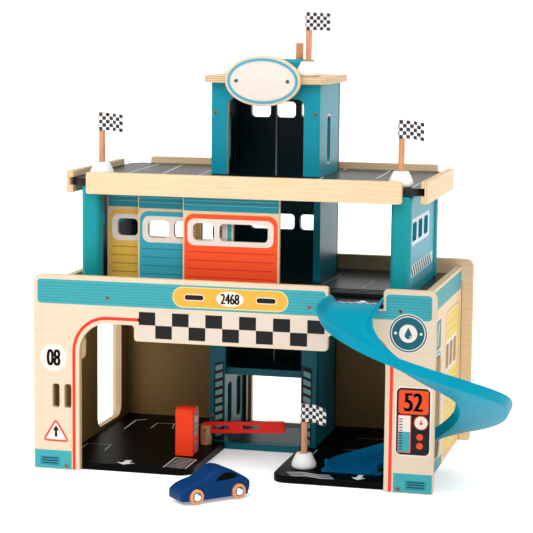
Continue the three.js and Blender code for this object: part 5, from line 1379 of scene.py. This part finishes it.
# %% Screw heads
def screw_parts(point, outward, radius=3.0, rise=0.35):
    """Points, faces and slots of one screw head that sits in the face at point and looks outward."""
    out = Vector(outward)
    side = Vector((0, 0, 1)) if abs(out.z) < 0.5 else Vector((1, 0, 0))
    other = out.cross(side)
    centre = Vector(point)
    profile = [(radius, 0.0), (radius - 0.15, rise * 0.6), (radius - 0.7, rise), (radius * 0.5, rise * 1.15), (0.02, rise * 1.2)]
    rings = [[tuple(centre + out * h + (side * math.cos(2 * math.pi * i / 28) + other * math.sin(2 * math.pi * i / 28)) * r) for i in range(28)] for r, h in profile]
    points, faces = skin(rings)
    slots = [0] * len(faces)
    # The cross recess is painted shade: four flat wedges in the black finish, laid 0.04 mm over the dome's top.
    for quarter in range(4):
        angle = math.pi / 2 * quarter + 0.5
        along = side * math.cos(angle) + other * math.sin(angle)
        across = out.cross(along)
        start = len(points)
        for distance, half in ((0.0, 0.42), (radius * 0.5, 0.3), (radius * 0.62, 0.05)):
            points += [tuple(centre + out * (rise * 1.2 + 0.04) + along * distance + across * half * s) for s in (-1, 1)]
        faces += [(start, start + 2, start + 3, start + 1), (start + 2, start + 4, start + 5, start + 3)]
        slots += [1, 1]
    return points, faces, slots


def screws(name, body, outward, places, radius=3.0):
    points, faces, slots = [], [], []
    for spot in places:
        more_points, more_faces, more_slots = screw_parts(spot, outward, radius)
        faces += [tuple(i + len(points) for i in face) for face in more_faces]
        points += more_points
        slots += more_slots
    mesh = bpy.data.meshes.new(name)
    mesh.from_pydata([at(*p) for p in points], [], faces)
    mesh.materials.append(zinc_steel)
    mesh.materials.append(black_rubber_and_recess_shade)
    mesh.polygons.foreach_set("material_index", slots)
    mesh.shade_smooth()
    return place(name, mesh, body)


FRONT, RIGHT, LEFT, BACK, UP = (0, -1, 0), (1, 0, 0), (-1, 0, 0), (0, 1, 0), (0, 0, 1)
screws("facade_screws", "garage", FRONT, [(x, -0.1, z) for x, z in ((-154.4, 217.7), (97.7, 217.9), (207.4, 218.2), (-208.1, 4.9), (208.5, 4.9))])
screws("shaft_frame_screws", "garage", FRONT, [(x, 167.9, z) for x in (-66.9, 66.9) for z in (42.5,)])
screws("tower_front_screws", "garage", FRONT, [(x, 167.9, z) for x in (-65.5, 65.5) for z in (437,)])
screws("sign_screws", "garage", FRONT, [(-34, 149.6, SIGN_Z), (32.5, 149.6, SIGN_Z)], 2.6)
screws("back_screws", "garage", BACK, [(x, 317.1, z) for x in (-226, -66, 66, 226) for z in (30, 120, 219)])
screws("tower_back_screws", "garage", BACK, [(x, 289.1, z) for x in (-65.5, 65.5) for z in (372, 450)])
screws("ramp_tab_screws", "garage", UP, [(x, 47.5, 12.45) for x in (143 - 33.5, 143 + 33.5)], 2.4)
# %% [markdown]
# ## The end
# The dressed model must stay inside the CAD model's box, apart from a little standing proud.

# %% Finish
print("done")
